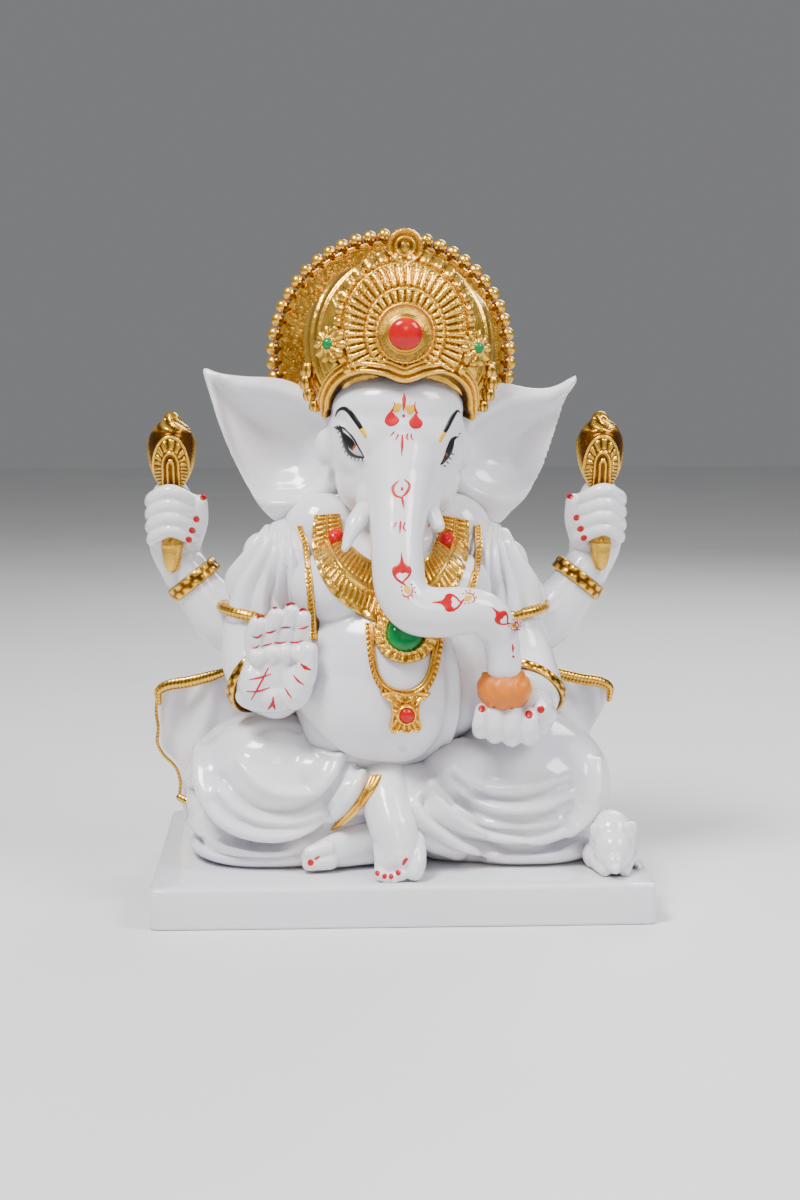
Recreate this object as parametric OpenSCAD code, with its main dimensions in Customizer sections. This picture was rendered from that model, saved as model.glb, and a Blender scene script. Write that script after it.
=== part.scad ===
// Seated Ganesha idol in cast marble-dust resin: a figure on a plinth, built from bonded castings.
// Left and right are the figure's own: its right side is at -X. The front faces -Y and +Z is up.
// The origin is the centre of the plinth's underside. All sizes are in millimetres.

/* [Plinth] */
// Width of the plinth, side to side
plinth_w = 184; // [170:1:230]
// Depth of the plinth, front to back
plinth_d = 127; // [118:1:160]
// Thickness of the plinth
plinth_t = 15; // [12:0.5:22]
// Radius of the plinth's upright corners
plinth_corner_r = 3; // [1:0.5:8]

/* [Legs] */
// Width across the two knees
knee_span = 167; // [139:1:176]
// Height of the knees above the plinth
knee_h = 54; // [44:1:66]
// Depth of the crossed legs, front to back
legs_d = 80; // [66:1:90]

/* [Torso] */
// Width of the belly
belly_w = 84; // [70:1:102]
// Depth of the belly
belly_d = 76; // [66:1:86]
// Height of the belly's centre above the plinth
belly_lift = 72; // [66:1:80]
// Width of the chest across the shoulders, without the shawl
chest_w = 94; // [78:1:104]
// Height of the shoulders above the plinth
shoulder_lift = 106; // [98:1:118]

/* [Head] */
// Width of the head
head_w = 51; // [42:0.5:60]
// Height of the head's centre above the shoulders
head_lift = 51; // [46:1:60]
// Distance between the two ear tips
ear_span = 141; // [118:1:168]
// Thickness of the ears at the rim
ear_t = 4.4; // [3:0.2:6]
// Radius of the trunk where it leaves the face
trunk_root_r = 13.5; // [11:0.5:16]
// Radius of the trunk at its tip
trunk_tip_r = 7.2; // [6:0.2:9]
// Length of the whole tusk that shows
tusk_l = 17; // [12:0.5:21]

/* [Crown] */
// Outside diameter of the halo, over its beads
halo_d = 98; // [82:1:118]
// Thickness of the halo plate
halo_t = 4.5; // [3:0.5:7]
// Diameter of one halo bead
bead_d = 5.2; // [4:0.2:7]
// Number of beads round the halo
bead_count = 36; // [24:1:42]
// Width of the crown's domed cap
crown_w = 83; // [69:1:92]
// Diameter of the stepped medallion on the crown's front
medallion_d = 57; // [47:1:62]
// Diameter of the large red stone
ruby_d = 12.6; // [9:0.2:15]

/* [Arms] */
// Sideways distance from the figure's middle to each raised fist
fist_reach = 83; // [76:1:96]
// Height of the raised fists above the shoulders
fist_lift = 19; // [14:1:26]
// Radius of a wrist
wrist_r = 9; // [7.5:0.5:10.5]
// Radius of an elbow
elbow_r = 13.5; // [11.5:0.5:15]

/* [Hand-held maces] */
// Length of a mace from its tail to the top of its head
mace_l = 62; // [58:1:72]
// Diameter of a mace's shaft
mace_shaft_d = 7.4; // [6:0.2:9]
// Width of a mace's head
mace_head_w = 20; // [16:0.5:24]

/* [Joints between the castings] */
// Diameter of the steel dowels
dowel_d = 6; // [4:0.5:8]
// Length of each steel dowel
dowel_l = 24; // [18:1:30]
// Diameter of the tenon on each rear arm
tenon_d = 12; // [9:0.5:14]
// Length of that tenon inside the torso
tenon_l = 14; // [9:0.5:16]
// Clearance for glue round every dowel, tenon and shaft
glue_gap = 0.1; // [0.05:0.05:0.3]

/* [Hidden] */

RESIN = "whitesmoke";
GOLD = "goldenrod";
eps = 0.01;

// Levels and centres, chained upwards so that each casting follows the one it stands on.
seat_z = plinth_t;
knee_z = seat_z + knee_h;
shoulder_z = seat_z + shoulder_lift;
torso_x = -3.5;
leg_r = [knee_span * 0.215, legs_d / 2, knee_h * 0.54];
leg_c = [knee_span / 2 - leg_r.x, -2, knee_z - leg_r.z];
belly_r = [belly_w / 2, belly_d / 2, 36];
belly_c = [torso_x, -7, seat_z + belly_lift];
belly_front = belly_c.y - belly_r.y;
chest_r = [chest_w / 2, 29, 31];
chest_c = [torso_x, 2, shoulder_z - 7];
head_r = [head_w / 2, 27, 31];
head_c = [0, -7, shoulder_z + head_lift];
halo_y = head_c.y + head_r.y + halo_t / 2 + 0.25;
halo_c = [-1.4, halo_y, head_c.z + 33.5];
halo_r = halo_d / 2 - bead_d * 0.8;
crown_c = [0, head_c.y + 6, head_c.z + 37];
crown_r = [crown_w / 2, 29, 37];
medallion_c = [1.5, crown_c.y - crown_r.y - 2.5, head_c.z + 41];
medallion_tilt = 8;

// The sweet in the left hand, the trunk that reaches it, and the hands that rest on the knees.
laddu_r = [10.6, 10, 8.5];
laddu_c = [37, -46, knee_z + 15];
bend_z = laddu_c.z + 29;
bend_y = belly_front - 5;
trunk_path = [
    head_c + [0, -15, 1], head_c + [-0.5, -23, -12], head_c + [-1.5, -29, -25], [-2, bend_y + 4, bend_z + 19],
    [0, bend_y + 0.5, bend_z + 6], [6, bend_y - 1, bend_z], [16, bend_y - 1, bend_z + 0.5], [26.5, bend_y, bend_z],
    [34, bend_y + 2, bend_z - 6], [laddu_c.x - 0.5, laddu_c.y - 2, laddu_c.z + laddu_r.z + 1]
];
trunk_radii = [for (i = [0:9]) trunk_root_r + (trunk_tip_r - trunk_root_r) * i / 9];
palm_c = [-45, -35, knee_z + 26];
hand_c = [41, -37, knee_z + 4];
elbow_c = [57, -2, knee_z + 15];

// The raised arms, mirrored about the torso's middle.
fist_c = [fist_reach, 12, shoulder_z + fist_lift];
rear_elbow = [60, 15, shoulder_z - 19];
rear_root = [42, 13, shoulder_z - 12];
rear_wrist = fist_c + [-5, -1, -20];
mace_tilt = [-6, 0, 0];

// ---- Shapes shared by the castings -------------------------------------------------------------

function unit(v) = v / norm(v);

function flow(path, i) = unit(path[min(i + 1, len(path) - 1)] - path[max(i - 1, 0)]);

// Points round an ellipse. Every second ring of a skin is turned by half a step, so no two facets are level.
function ring(c, u, v, r, n, j = 0) = [
    for (k = [0:n - 1])
        let (a = 360 * (k + (j % 2) / 2) / n)
        c + u * r.x * cos(a) + v * r.y * sin(a)
];

// A closed skin of triangles over rings of the same number of points, ending in two poles.
module skin(rings, low, high) {
    n = len(rings[0]);
    m = len(rings) - 1;
    sides = [
        for (j = [0:m - 1], i = [0:n - 1])
            let (a = j * n + i, b = j * n + (i + 1) % n)
            each (j % 2 == 0 ? [[a, a + n, b], [b, a + n, b + n]] : [[a, b + n, b], [a, a + n, b + n]])
    ];
    polyhedron([for (r = rings) each r, low, high], concat(
        [for (i = [0:n - 1]) [i, (i + 1) % n, (m + 1) * n]],
        sides,
        [for (i = [0:n - 1]) [m * n + (i + 1) % n, m * n + i, (m + 1) * n + 1]]));
}

// A round body with half-axes r about centre c, of n sides. Its latitude lines are step degrees apart.
module egg(c, r, n = 18, step = 20) {
    skin([
        for (j = [0:8])
            ring(c + [0, 0, r.z * sin(step * (j - 4))], [1, 0, 0], [0, 1, 0], [r.x, r.y] * cos(step * (j - 4)), n, j)
    ], c - [0, 0, r.z], c + [0, 0, r.z]);
}

// A limb along a path, round at both ends. r holds one radius per point, and flat squeezes it across ref.
module limb(path, r, n = 14, ref = [0, 1, 0], flat = 1) {
    last = len(path) - 1;
    function frame(i) = let (t = flow(path, i), u = unit(cross(ref, t))) [t, u, cross(t, u)];
    function at(i, back, share, j) =
        let (f = frame(i)) ring(path[i] + f[0] * back * r[i], f[1], f[2], [1, flat] * r[i] * share, n, j);
    skin(concat(
        [at(0, -0.9, 0.42, 0), at(0, -0.55, 0.83, 1)],
        [for (i = [0:last]) at(i, 0, 1, i)],
        [at(last, 0.55, 0.83, last + 1), at(last, 0.9, 0.42, last)]),
        path[0] - frame(0)[0] * r[0], path[last] + frame(last)[0] * r[last]);
}

// Merges organic forms into the one skin that a mould gives them.
module cast() {
    resize([0, 0, 0]) union() children();
}

// The same, with the forms of the neighbours that it is bonded to taken away.
module cast_against() {
    resize([0, 0, 0]) difference() {
        children(0);
        children([1:$children - 1]);
    }
}

// Everything above a level.
module above(z) {
    translate([-200, -200, z]) cube([400, 400, 400]);
}

module right_side() {
    translate([torso_x, 0, 0]) mirror([1, 0, 0]) children();
}

module left_side() {
    translate([torso_x, 0, 0]) children();
}

// ---- Plinth, legs and feet ---------------------------------------------------------------------

dowel_x = 20;
dowel_y = 6;
plinth_dowel_z = seat_z - dowel_l * 0.4;
torso_dowel_z = belly_c.z - belly_r.z * 0.9 - dowel_l * 0.45;

module dowel_pair(z, x, d) {
    for (side = [-1, 1]) translate([side * x, dowel_y, z]) cylinder(d = d, h = dowel_l, $fn = 32);
}

module plinth() {
    color(RESIN) difference() {
        linear_extrude(plinth_t) union() {
            square([plinth_w - 2 * plinth_corner_r, plinth_d], center = true);
            square([plinth_w, plinth_d - 2 * plinth_corner_r], center = true);
            for (x = [-1, 1], y = [-1, 1])
                translate([x * (plinth_w / 2 - plinth_corner_r), y * (plinth_d / 2 - plinth_corner_r)])
                    circle(r = plinth_corner_r, $fn = 32);
        }
        dowel_pair(plinth_dowel_z - glue_gap, dowel_x, dowel_d + 2 * glue_gap);
    }
}

module plinth_dowels() {
    color("silver") dowel_pair(plinth_dowel_z, dowel_x, dowel_d);
}

module lap_form() {
    egg([0, 4, seat_z + 17], [36, legs_d / 2 - 5, 27]);
}

module lap() {
    color(RESIN) difference() {
        cast_against() {
            intersection() {
                lap_form();
                above(seat_z);
            }
            torso_form();
        }
        dowel_pair(plinth_dowel_z - eps, dowel_x, dowel_d + 2 * glue_gap);
        dowel_pair(torso_dowel_z - glue_gap, dowel_x / 2, dowel_d + 2 * glue_gap);
    }
}

// One knee and shin under the cloth, on the +X side.
module leg_form() {
    egg(leg_c, leg_r, 24);
    egg([leg_c.x * 0.55, 3, seat_z + 18], [28, legs_d / 2 - 3, 24]);
    limb([[leg_c.x + 17, -12, seat_z + 11], [leg_c.x - 4, -23, seat_z + 11], [16, -21, seat_z + 11]], [14, 15, 12]);
}

module half_legs(side) {
    cast_against() {
        intersection() {
            mirror([side < 0 ? 1 : 0, 0, 0]) leg_form();
            above(seat_z);
        }
        lap_form();
        torso_form();
        right_foot_form();
        left_foot_form();
        if (side > 0) mouse_form();
        mirror([side < 0 ? 0 : 1, 0, 0]) translate([0, -100, 0]) cube(300);
    }
}

module right_leg() {
    color(RESIN) half_legs(-1);
}

module left_leg() {
    color(RESIN) half_legs(1);
}

// The gold edge of the cloth, which hangs from under the belly beside the foot.
border_path = [
    [-8, belly_front + 3, belly_c.z - 31], [-13, belly_front + 1.5, seat_z + 33],
    [-19, belly_front + 2, seat_z + 25], [-27, belly_front + 4, seat_z + 16]
];

module dhoti_border() {
    color(GOLD) cast_against() {
        limb(border_path, [3, 3.2, 2.6, 1.6], 10);
        half_leg_forms();
        lap_form();
        torso_form();
        right_foot_form();
    }
}

module half_leg_forms() {
    leg_form();
    mirror([1, 0, 0]) leg_form();
}

toe_r = 2.9;
foot_front = belly_front - 7;

// The right foot hangs in front, toes down. The left one lies across behind it.
module right_foot_form() {
    limb([[4, belly_front + 12, seat_z + 36], [3, belly_front + 3, seat_z + 22],
        [-1, foot_front + 3, seat_z + 8.5]], [9.5, 9, 7.5], 14, [1, 0, 0]);
    for (i = [0:4])
        limb([[-8 + 3.7 * i, foot_front + 2, seat_z + 7], [-9 + 4.1 * i, foot_front - 2, seat_z + 3.4]],
            i == 4 ? [toe_r, toe_r * 1.25] : [toe_r * 0.8, toe_r * 0.8], 8, [1, 0, 0]);
}

module left_foot_form() {
    limb([[-2, -27, seat_z + 9], [-16, -32, seat_z + 7.5], [-27, -35, seat_z + 6], [-33, -37, seat_z + 5]],
        [9.5, 8.5, 7, 5.5], 14, [0, 1, 0], 0.8);
}

module right_foot() {
    color(RESIN) cast_against() {
        intersection() {
            right_foot_form();
            above(seat_z);
        }
        torso_form();
        lap_form();
        left_foot_form();
    }
}

module left_foot() {
    color(RESIN) cast_against() {
        intersection() {
            left_foot_form();
            above(seat_z);
        }
        lap_form();
    }
}

mouse_c = [plinth_w / 2 - 13, -plinth_d / 2 + 19, seat_z + 8];

module mouse_form() {
    egg(mouse_c + [0, 6, 1], [9, 10, 11], 14);
    egg(mouse_c + [0.5, -4, 0], [6.5, 7, 7], 12);
    for (side = [-1, 1]) {
        limb([mouse_c + [side * 3.5, -1, 5], mouse_c + [side * 6, 0, 9]], [1.8, 2.4], 8, [0, 1, 0], 0.6);
        limb([mouse_c + [side * 4, -3, -4], mouse_c + [side * 4, -9, -6]], [2.6, 2], 8, [1, 0, 0]);
    }
}

module mouse() {
    color(RESIN) cast() intersection() {
        mouse_form();
        above(seat_z);
    }
}

// ---- Torso -------------------------------------------------------------------------------------

module torso_form() {
    egg(belly_c, belly_r, 24);
    egg(chest_c, chest_r, 24);
    limb([chest_c + [-chest_w / 2 + 12, 0, 6], chest_c + [chest_w / 2 - 12, 0, 6]], [16, 16], 16);
    limb([chest_c + [2, 0, 20], [0, -2, neck_top - 15.5]], [20, 16], 16, [1, 0, 0]);
}

neck_top = head_c.z - head_r.z + 13;
neck_dowel_z = neck_top - dowel_l / 2;

module neck_bore() {
    translate([0, 0, neck_dowel_z - glue_gap])
        cylinder(d = dowel_d + 2 * glue_gap, h = dowel_l + 2 * glue_gap, $fn = 32);
}

module tenon(d, l) {
    translate(rear_root + [-l, 0, 0]) rotate([0, 90, 0]) cylinder(d = d, h = l + 2, $fn = 32);
}

module torso() {
    color(RESIN) difference() {
        cast() torso_form();
        dowel_pair(torso_dowel_z - glue_gap, dowel_x / 2, dowel_d + 2 * glue_gap);
        dowel_tops();
        neck_bore();
        left_side() tenon(tenon_d + 2 * glue_gap, tenon_l + glue_gap);
        right_side() tenon(tenon_d + 2 * glue_gap, tenon_l + glue_gap);
    }
}

// Room over the ends of the dowels that come up from the lap.
module dowel_tops() {
    dowel_pair(torso_dowel_z + 2 * glue_gap, dowel_x / 2, dowel_d + 2 * glue_gap);
}

module torso_dowels() {
    color("silver") dowel_pair(torso_dowel_z, dowel_x / 2, dowel_d);
}

module neck_dowel() {
    color("silver") translate([0, 0, neck_dowel_z]) cylinder(d = dowel_d, h = dowel_l, $fn = 32);
}

// ---- Head --------------------------------------------------------------------------------------

module head_form() {
    egg(head_c, head_r, 24);
    egg(head_c + [0, -5, -16], [head_r.x * 0.94, 22, 18]);
}

module head() {
    color(RESIN) difference() {
        cast_against() {
            head_form();
            torso_form();
        }
        neck_bore();
    }
}

module trunk_form() {
    limb(trunk_path, trunk_radii, 18);
}

module trunk() {
    color(RESIN) cast_against() {
        trunk_form();
        head_form();
        torso_form();
        laddu_form();
    }
}

// One ear on the +X side: a hollowed leaf. Each row gives the distance out from the figure's middle as a
// share of the reach, the heights of the top and bottom edges, and how far back the hollow lies.
ear_rows = [
    [0.30, 15, -17, 1], [0.43, 17.5, -24, 4], [0.53, 19, -29, 6.5], [0.63, 20, -30.5, 8], [0.72, 21, -22, 8],
    [0.83, 22.5, -5, 6.5], [0.92, 24.5, 10, 4], [0.975, 26.5, 20, 2], [1, 27.5, 25, 1]
];

function ear_point(row, k, face) =
    let (top = row[1], low = row[2], deep = row[3], half = min(ear_t / 2, (top - low) / 4)) [
        row[0] * ear_span / 2,
        head_c.y + 3 + deep - (deep * 0.8 + 1) * k * k + face * half * (1.3 - abs(k)),
        head_c.z + (top + low) / 2 + k * (top - low) / 2
    ];

function ear_ring(row) = concat(
    [for (k = [-0.8:0.4:0.8]) ear_point(row, k, 1)],
    [for (k = [1:-0.4:-1]) ear_point(row, k, -1)]);

module ear_form() {
    rows = [for (row = ear_rows) ear_ring(row)];
    tip = rows[len(rows) - 1];
    translate([torso_x * 0.8, 0, 0]) skin(rows, (rows[0][2] + rows[0][8]) / 2 - [1, 0, 0], (tip[2] + tip[7]) / 2 + [0.8, 0, 0.8]);
}

module right_ear_form() {
    translate([torso_x * 1.6, 0, 0]) mirror([1, 0, 0]) ear_form();
}

module right_ear() {
    color(RESIN) cast_against() {
        right_ear_form();
        head_form();
        torso_form();
    }
}

module left_ear() {
    color(RESIN) cast_against() {
        ear_form();
        head_form();
        torso_form();
    }
}

// The right tusk is whole and the left one is short, as the figure's story has it.
tusk_root = [11, head_c.y - 21, head_c.z - 22];

module tusk_form(side, l) {
    limb([[side * tusk_root.x, tusk_root.y, tusk_root.z],
        [side * (tusk_root.x + 5), tusk_root.y - 6, tusk_root.z - l * 0.55],
        [side * (tusk_root.x + 9), tusk_root.y - 10, tusk_root.z - l * 0.85]], [5.4, 3.8, 1.2], 12, [1, 0, 0]);
}

module right_tusk() {
    color(RESIN) cast_against() {
        tusk_form(-1, tusk_l);
        head_form();
        trunk_form();
        torso_form();
    }
}

module left_tusk() {
    color(RESIN) cast_against() {
        tusk_form(1, tusk_l * 0.6);
        head_form();
        trunk_form();
        torso_form();
    }
}

// ---- Crown and halo ----------------------------------------------------------------------------

halo_low = head_c.z + 7;

module halo_disc() {
    translate(halo_c) rotate([90, 0, 0]) cylinder(r = halo_r, h = halo_t, center = true, $fn = 96);
}

module halo() {
    color(GOLD) difference() {
        halo_disc();
        translate([-100, halo_y - 50, halo_low - 100]) cube([200, 100, 100]);
    }
}

// Beads follow the halo's rim down to the level where it is cut off, each one sunk a little into the rim.
bead_ring = halo_d / 2 - bead_d / 2;
bead_from = asin((halo_low + bead_d / 2 - halo_c.z) / bead_ring);

module halo_beads() {
    step = (180 - 2 * bead_from) / (bead_count - 1);
    size = min(bead_d, 0.97 * PI * bead_ring * step / 180);
    color(GOLD) for (i = [0:bead_count - 1])
        translate(halo_c) rotate([0, -bead_from - i * step, 0]) difference() {
            translate([bead_ring, 0, 0]) sphere(d = size, $fn = 24);
            rotate([90, 0, 0]) cylinder(r = halo_r, h = 2 * bead_d, center = true, $fn = 96);
        }
}

module crown_cap_form() {
    egg(crown_c, crown_r, 26, 19);
}

module in_front_of(y) {
    translate([-200, y - 400, -200]) cube([400, 400, 800]);
}

// Places its children on the medallion's axis, whose +Z points out of the crown's front.
module on_crown_front() {
    translate(medallion_c) rotate([90 - medallion_tilt, 0, 0]) children();
}

medallion_seat = 13;

// The cap is bonded over the head, with a round rebate for the medallion and an arch over the forehead.
module crown_cap() {
    color(GOLD) cast_against() {
        intersection() {
            crown_cap_form();
            in_front_of(halo_y - halo_t / 2);
            above(head_c.z + 12);
        }
        head_form();
        trunk_form();
        ear_form();
        right_ear_form();
        translate([0, head_c.y - 7, head_c.z - 10]) rotate([90, 0, 0]) cylinder(r = 34, h = 60, $fn = 48);
        on_crown_front() translate([0, 0, -medallion_seat]) cylinder(d = medallion_d, h = 60, $fn = 48);
    }
}

// Concentric mouldings round the cup of the red stone, cut off below by the arch of the band.
module crown_medallion() {
    r = medallion_d / 2;
    color(GOLD) difference() {
        on_crown_front() rotate_extrude($fn = 72) polygon([
            [0, -medallion_seat], [r, -medallion_seat], [r, -7], [r * 0.97, -5.6], [r * 0.92, -5], [r * 0.87, -5.6],
            [r * 0.85, -4.2], [r * 0.8, -3.4], [r * 0.66, -2.6], [r * 0.64, -1.2], [r * 0.59, -0.6],
            [r * 0.44, -0.6], [r * 0.42, 0.9], [r * 0.38, 1.3], [r * 0.34, 0.4], [0, 0.4]
        ]);
        on_crown_front() translate([0, 0, -1.6]) cylinder(d = ruby_d + 2 * glue_gap, h = 10, $fn = 48);
        translate([0, head_c.y, head_c.z + 8]) rotate([90, 0, 0]) linear_extrude(100, center = true)
            scale([head_w * 0.65, 21.5]) circle(r = 1, $fn = 72);
    }
}

band_path = [
    for (x = [-1, -0.93, -0.78, -0.54, -0.27, 0, 0.27, 0.54, 0.78, 0.93, 1])
        [x * (head_w / 2 + 4), head_c.y + 1 - 23 * sqrt(1.02 - x * x), head_c.z + 8 + 17 * sqrt(1.02 - x * x) - (x == 0 ? 1.8 : 0)]
];

module crown_band() {
    color(GOLD) cast_against() {
        limb(band_path, [for (p = band_path) 3], 10, [0, 0, 1]);
        head_form();
        trunk_form();
        ear_form();
        right_ear_form();
        crown_cap_form();
    }
}

flower_d = 13;

// Each flower stands on the cap's shoulder, beside the medallion. The child is turned to face outwards there.
module on_crown_side(side) {
    z = head_c.z + 37;
    x = crown_r.x * 0.7;
    translate([1.5 + side * x, crown_c.y - crown_r.y * sqrt(1 - 0.49), z]) rotate([90, 0, side * 38]) children();
}

module flower(side) {
    on_crown_side(side) difference() {
        translate([0, 0, -1.5]) cylinder(d1 = flower_d * 0.7, d2 = flower_d, h = 5.5, $fn = 28);
        translate([0, 0, 3]) cylinder(d = 4.4 + 2 * glue_gap, h = 5, $fn = 24);
    }
}

module crown_flowers() {
    color(GOLD) cast_against() {
        union() {
            flower(-1);
            flower(1);
        }
        crown_cap_form();
        crown_medallion();
    }
}

module crown_emeralds() {
    color("seagreen") for (side = [-1, 1])
        on_crown_side(side) translate([0, 0, 3 + 2.3]) sphere(d = 4.4, $fn = 24);
}

module crown_ruby() {
    color("crimson") on_crown_front() translate([0, 0, -1.5]) intersection() {
        translate([0, 0, -ruby_d * 0.1]) sphere(d = ruby_d, $fn = 48);
        cylinder(d = 2 * ruby_d, h = ruby_d, $fn = 24);
    }
}

// The ringed boss at the very top, between the cap and the halo.
module crown_finial() {
    color(GOLD) cast_against() {
        translate([1.5, halo_y - halo_t / 2 - 9, crown_c.z + crown_r.z - 1]) rotate([80, 0, 0])
            rotate_extrude($fn = 28) polygon([[0, -10], [7, -10], [7, 4], [5.8, 5.2], [4.6, 4], [3.4, 3], [0, 4.5]]);
        crown_cap_form();
        translate([-100, halo_y - halo_t / 2, 0]) cube([200, 100, 400]);
        crown_medallion();
    }
}

// ---- Front arms and hands ----------------------------------------------------------------------

arm_root = [46, 3, shoulder_z - 2];

right_elbow = [-elbow_c.x - 1, elbow_c.y - 7, elbow_c.z - 2];
right_wrist = palm_c + [-5, 10, -9];
left_elbow = elbow_c + [-3, -7, -2];
left_wrist = hand_c + [6, 10, 4];

module right_arm_form() {
    limb([[torso_x - arm_root.x + 1, arm_root.y, arm_root.z], [-elbow_c.x - 3, elbow_c.y, elbow_c.z + 8],
        right_elbow, right_wrist], [13, elbow_r, elbow_r * 0.95, wrist_r], 16, [0, 1, 0]);
}

module left_arm_form() {
    limb([[torso_x + arm_root.x - 1, arm_root.y, arm_root.z], [elbow_c.x - 4, elbow_c.y, elbow_c.z + 8],
        left_elbow, left_wrist], [13, elbow_r, elbow_r * 0.95, wrist_r], 16, [0, 1, 0]);
}

module right_arm() {
    color(RESIN) cast_against() {
        right_arm_form();
        torso_form();
        half_leg_forms();
        right_side() rear_arm_form();
    }
}

module left_arm() {
    color(RESIN) cast_against() {
        left_arm_form();
        torso_form();
        half_leg_forms();
        left_side() rear_arm_form();
    }
}

// The right hand is raised, with its palm to the front.
palm_w = 27;

module right_palm_form() {
    limb([palm_c + [0, 2, -14], palm_c + [0, 1, -2], palm_c + [0, 0, 5]], [palm_w * 0.47, palm_w / 2, palm_w * 0.47],
        16, [0, 1, 0], 0.42);
    for (i = [0:3])
        limb([palm_c + [-9.5 + 6.2 * i, 1, 4], palm_c + [-10.2 + 6.6 * i, -1.5, 11 + 4.2 * sin(40 + 35 * i)]],
            [3.6, 3.2], 8, [0, 1, 0]);
    limb([palm_c + [7, -3, -9], palm_c + [12, -3, 0], palm_c + [13, -2, 7]], [5, 4, 3.2], 8, [0, 1, 0]);
}

module right_palm() {
    color(RESIN) cast_against() {
        right_palm_form();
        right_arm_form();
        half_leg_forms();
        torso_form();
    }
}

// The left hand lies palm up on the knee, with its fingers curled round the sweet.
module left_hand_form() {
    limb([hand_c + [-6, 2, 0], hand_c + [3, 2, 1], hand_c + [9, 3, 3]], [9, 10.5, 10], 14, [0, 1, 0], 0.9);
    for (i = [0:3])
        limb([hand_c + [-11 + 7 * i, -6, -3], hand_c + [-11 + 7 * i, -10, 1], hand_c + [-11 + 7 * i, -9, 6]],
            [3.7, 3.7, 3], 8, [1, 0, 0]);
    limb([hand_c + [13, -2, 4], hand_c + [13, -5, 10]], [4.2, 3.4], 8, [1, 0, 0]);
}

module left_hand() {
    color(RESIN) cast_against() {
        left_hand_form();
        left_arm_form();
        half_leg_forms();
        laddu_form();
        torso_form();
    }
}

module laddu_form() {
    egg(laddu_c, laddu_r);
}

module laddu() {
    color("darkorange") cast() laddu_form();
}

function between(a, b, share) = a + (b - a) * share;

cuff_r = elbow_r * 0.95 + (wrist_r - elbow_r * 0.95) * 0.62 + 0.6;

// A ring of section radius s round a limb, centred at c and square to direction t.
module bangle(c, t, r, s) {
    tilt = unit(t);
    translate(c) rotate([0, acos(tilt.z), atan2(tilt.y, tilt.x)]) rotate_extrude($fn = 28)
        translate([r, 0]) circle(r = s, $fn = 10);
}

module right_bracelet() {
    color(GOLD) cast_against() {
        bangle(between(right_elbow, right_wrist, 0.62), right_wrist - right_elbow, cuff_r, 2);
        right_arm_form();
        right_palm_form();
        half_leg_forms();
        torso_form();
    }
}

module left_bracelet() {
    color(GOLD) cast_against() {
        bangle(between(left_elbow, left_wrist, 0.62), left_wrist - left_elbow, cuff_r, 2);
        left_arm_form();
        left_hand_form();
        half_leg_forms();
        torso_form();
    }
}

// ---- Raised rear arms with their maces ---------------------------------------------------------

module rear_arm_form() {
    limb([rear_root, rear_elbow, rear_wrist], [13.5, 14, wrist_r * 1.05], 16);
}

module rear_arm() {
    cast_against() {
        rear_arm_form();
        translate([-torso_x, 0, 0]) torso_form();
        fist_form();
    }
    tenon(tenon_d, tenon_l);
}

module rear_right_arm() {
    color(RESIN) right_side() rear_arm();
}

module rear_left_arm() {
    color(RESIN) left_side() rear_arm();
}

// The shaft's line, from the middle of the grip.
module along_mace() {
    translate(fist_c + [0.5, -2.5, 0]) rotate(mace_tilt) children();
}

fist_h = 33;

module fist_form() {
    limb([fist_c + [-1, 3.5, -12], fist_c + [0, 4, 0], fist_c + [0, 4, 9]], [9.5, 11, 9.5], 14, [0, 1, 0], 0.85);
    for (i = [0:3])
        limb([fist_c + [8, -3, 11 - 7.2 * i], fist_c + [1, -10, 12 - 7.2 * i], fist_c + [-7, -4, 11 - 7.2 * i]],
            [3.9, 4.1, 3.7], 8, [0, 0, 1]);
}

module fist() {
    difference() {
        cast() fist_form();
        along_mace() cylinder(d = mace_shaft_d + 2 * glue_gap, h = 3 * fist_h, center = true, $fn = 32);
    }
}

module rear_right_fist() {
    color(RESIN) right_side() fist();
}

module rear_left_fist() {
    color(RESIN) left_side() fist();
}

mace_top = mace_l * 0.68;
mace_head_h = 26;

// A turned shaft with a pointed tail, and a flared head flattened front and back.
module mace() {
    tail = mace_top - mace_l;
    neck = mace_top - mace_head_h;
    along_mace() {
        rotate_extrude($fn = 48) polygon([
            [0, tail], [mace_shaft_d * 0.3, tail + 2], [mace_shaft_d / 2, tail + 8], [mace_shaft_d / 2, neck + 3],
            [mace_head_w * 0.36, neck + 10], [mace_head_w * 0.48, neck + 15], [mace_head_w / 2, neck + 19],
            [mace_head_w * 0.42, neck + 23], [mace_head_w * 0.2, mace_top - 1], [0, mace_top]
        ]);
        translate([0, 0, mace_top - 0.5]) sphere(d = 5, $fn = 24);
    }
}

module rear_right_mace() {
    color(GOLD) right_side() mace();
}

module rear_left_mace() {
    color(GOLD) left_side() mace();
}

module rear_bangle() {
    cast_against() {
        bangle(between(rear_elbow, rear_wrist, 0.94), rear_wrist - rear_elbow, wrist_r * 1.05 + 0.9, 2.3);
        rear_arm_form();
        fist_form();
    }
}

module rear_right_bangle() {
    color(GOLD) right_side() rear_bangle();
}

module rear_left_bangle() {
    color(GOLD) left_side() rear_bangle();
}

// ---- Shawl -------------------------------------------------------------------------------------

module sleeve_form() {
    limb([[26, 3, shoulder_z + 10], [42, 3, shoulder_z + 3], [51, 1, shoulder_z - 9]], [15, 17, 17.5], 18);
}

module sleeve(side) {
    cast_against() {
        intersection() {
            translate([torso_x, 0, 0]) mirror([side < 0 ? 1 : 0, 0, 0]) sleeve_form();
            above(shoulder_z - 16);
        }
        torso_form();
        head_form();
        ear_form();
        right_ear_form();
        if (side < 0) right_arm_form(); else left_arm_form();
        translate([torso_x, 0, 0]) mirror([side < 0 ? 1 : 0, 0, 0]) {
            rear_arm_form();
            tenon(tenon_d, tenon_l);
        }
    }
}

module right_sleeve() {
    color(RESIN) sleeve(-1);
}

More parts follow.
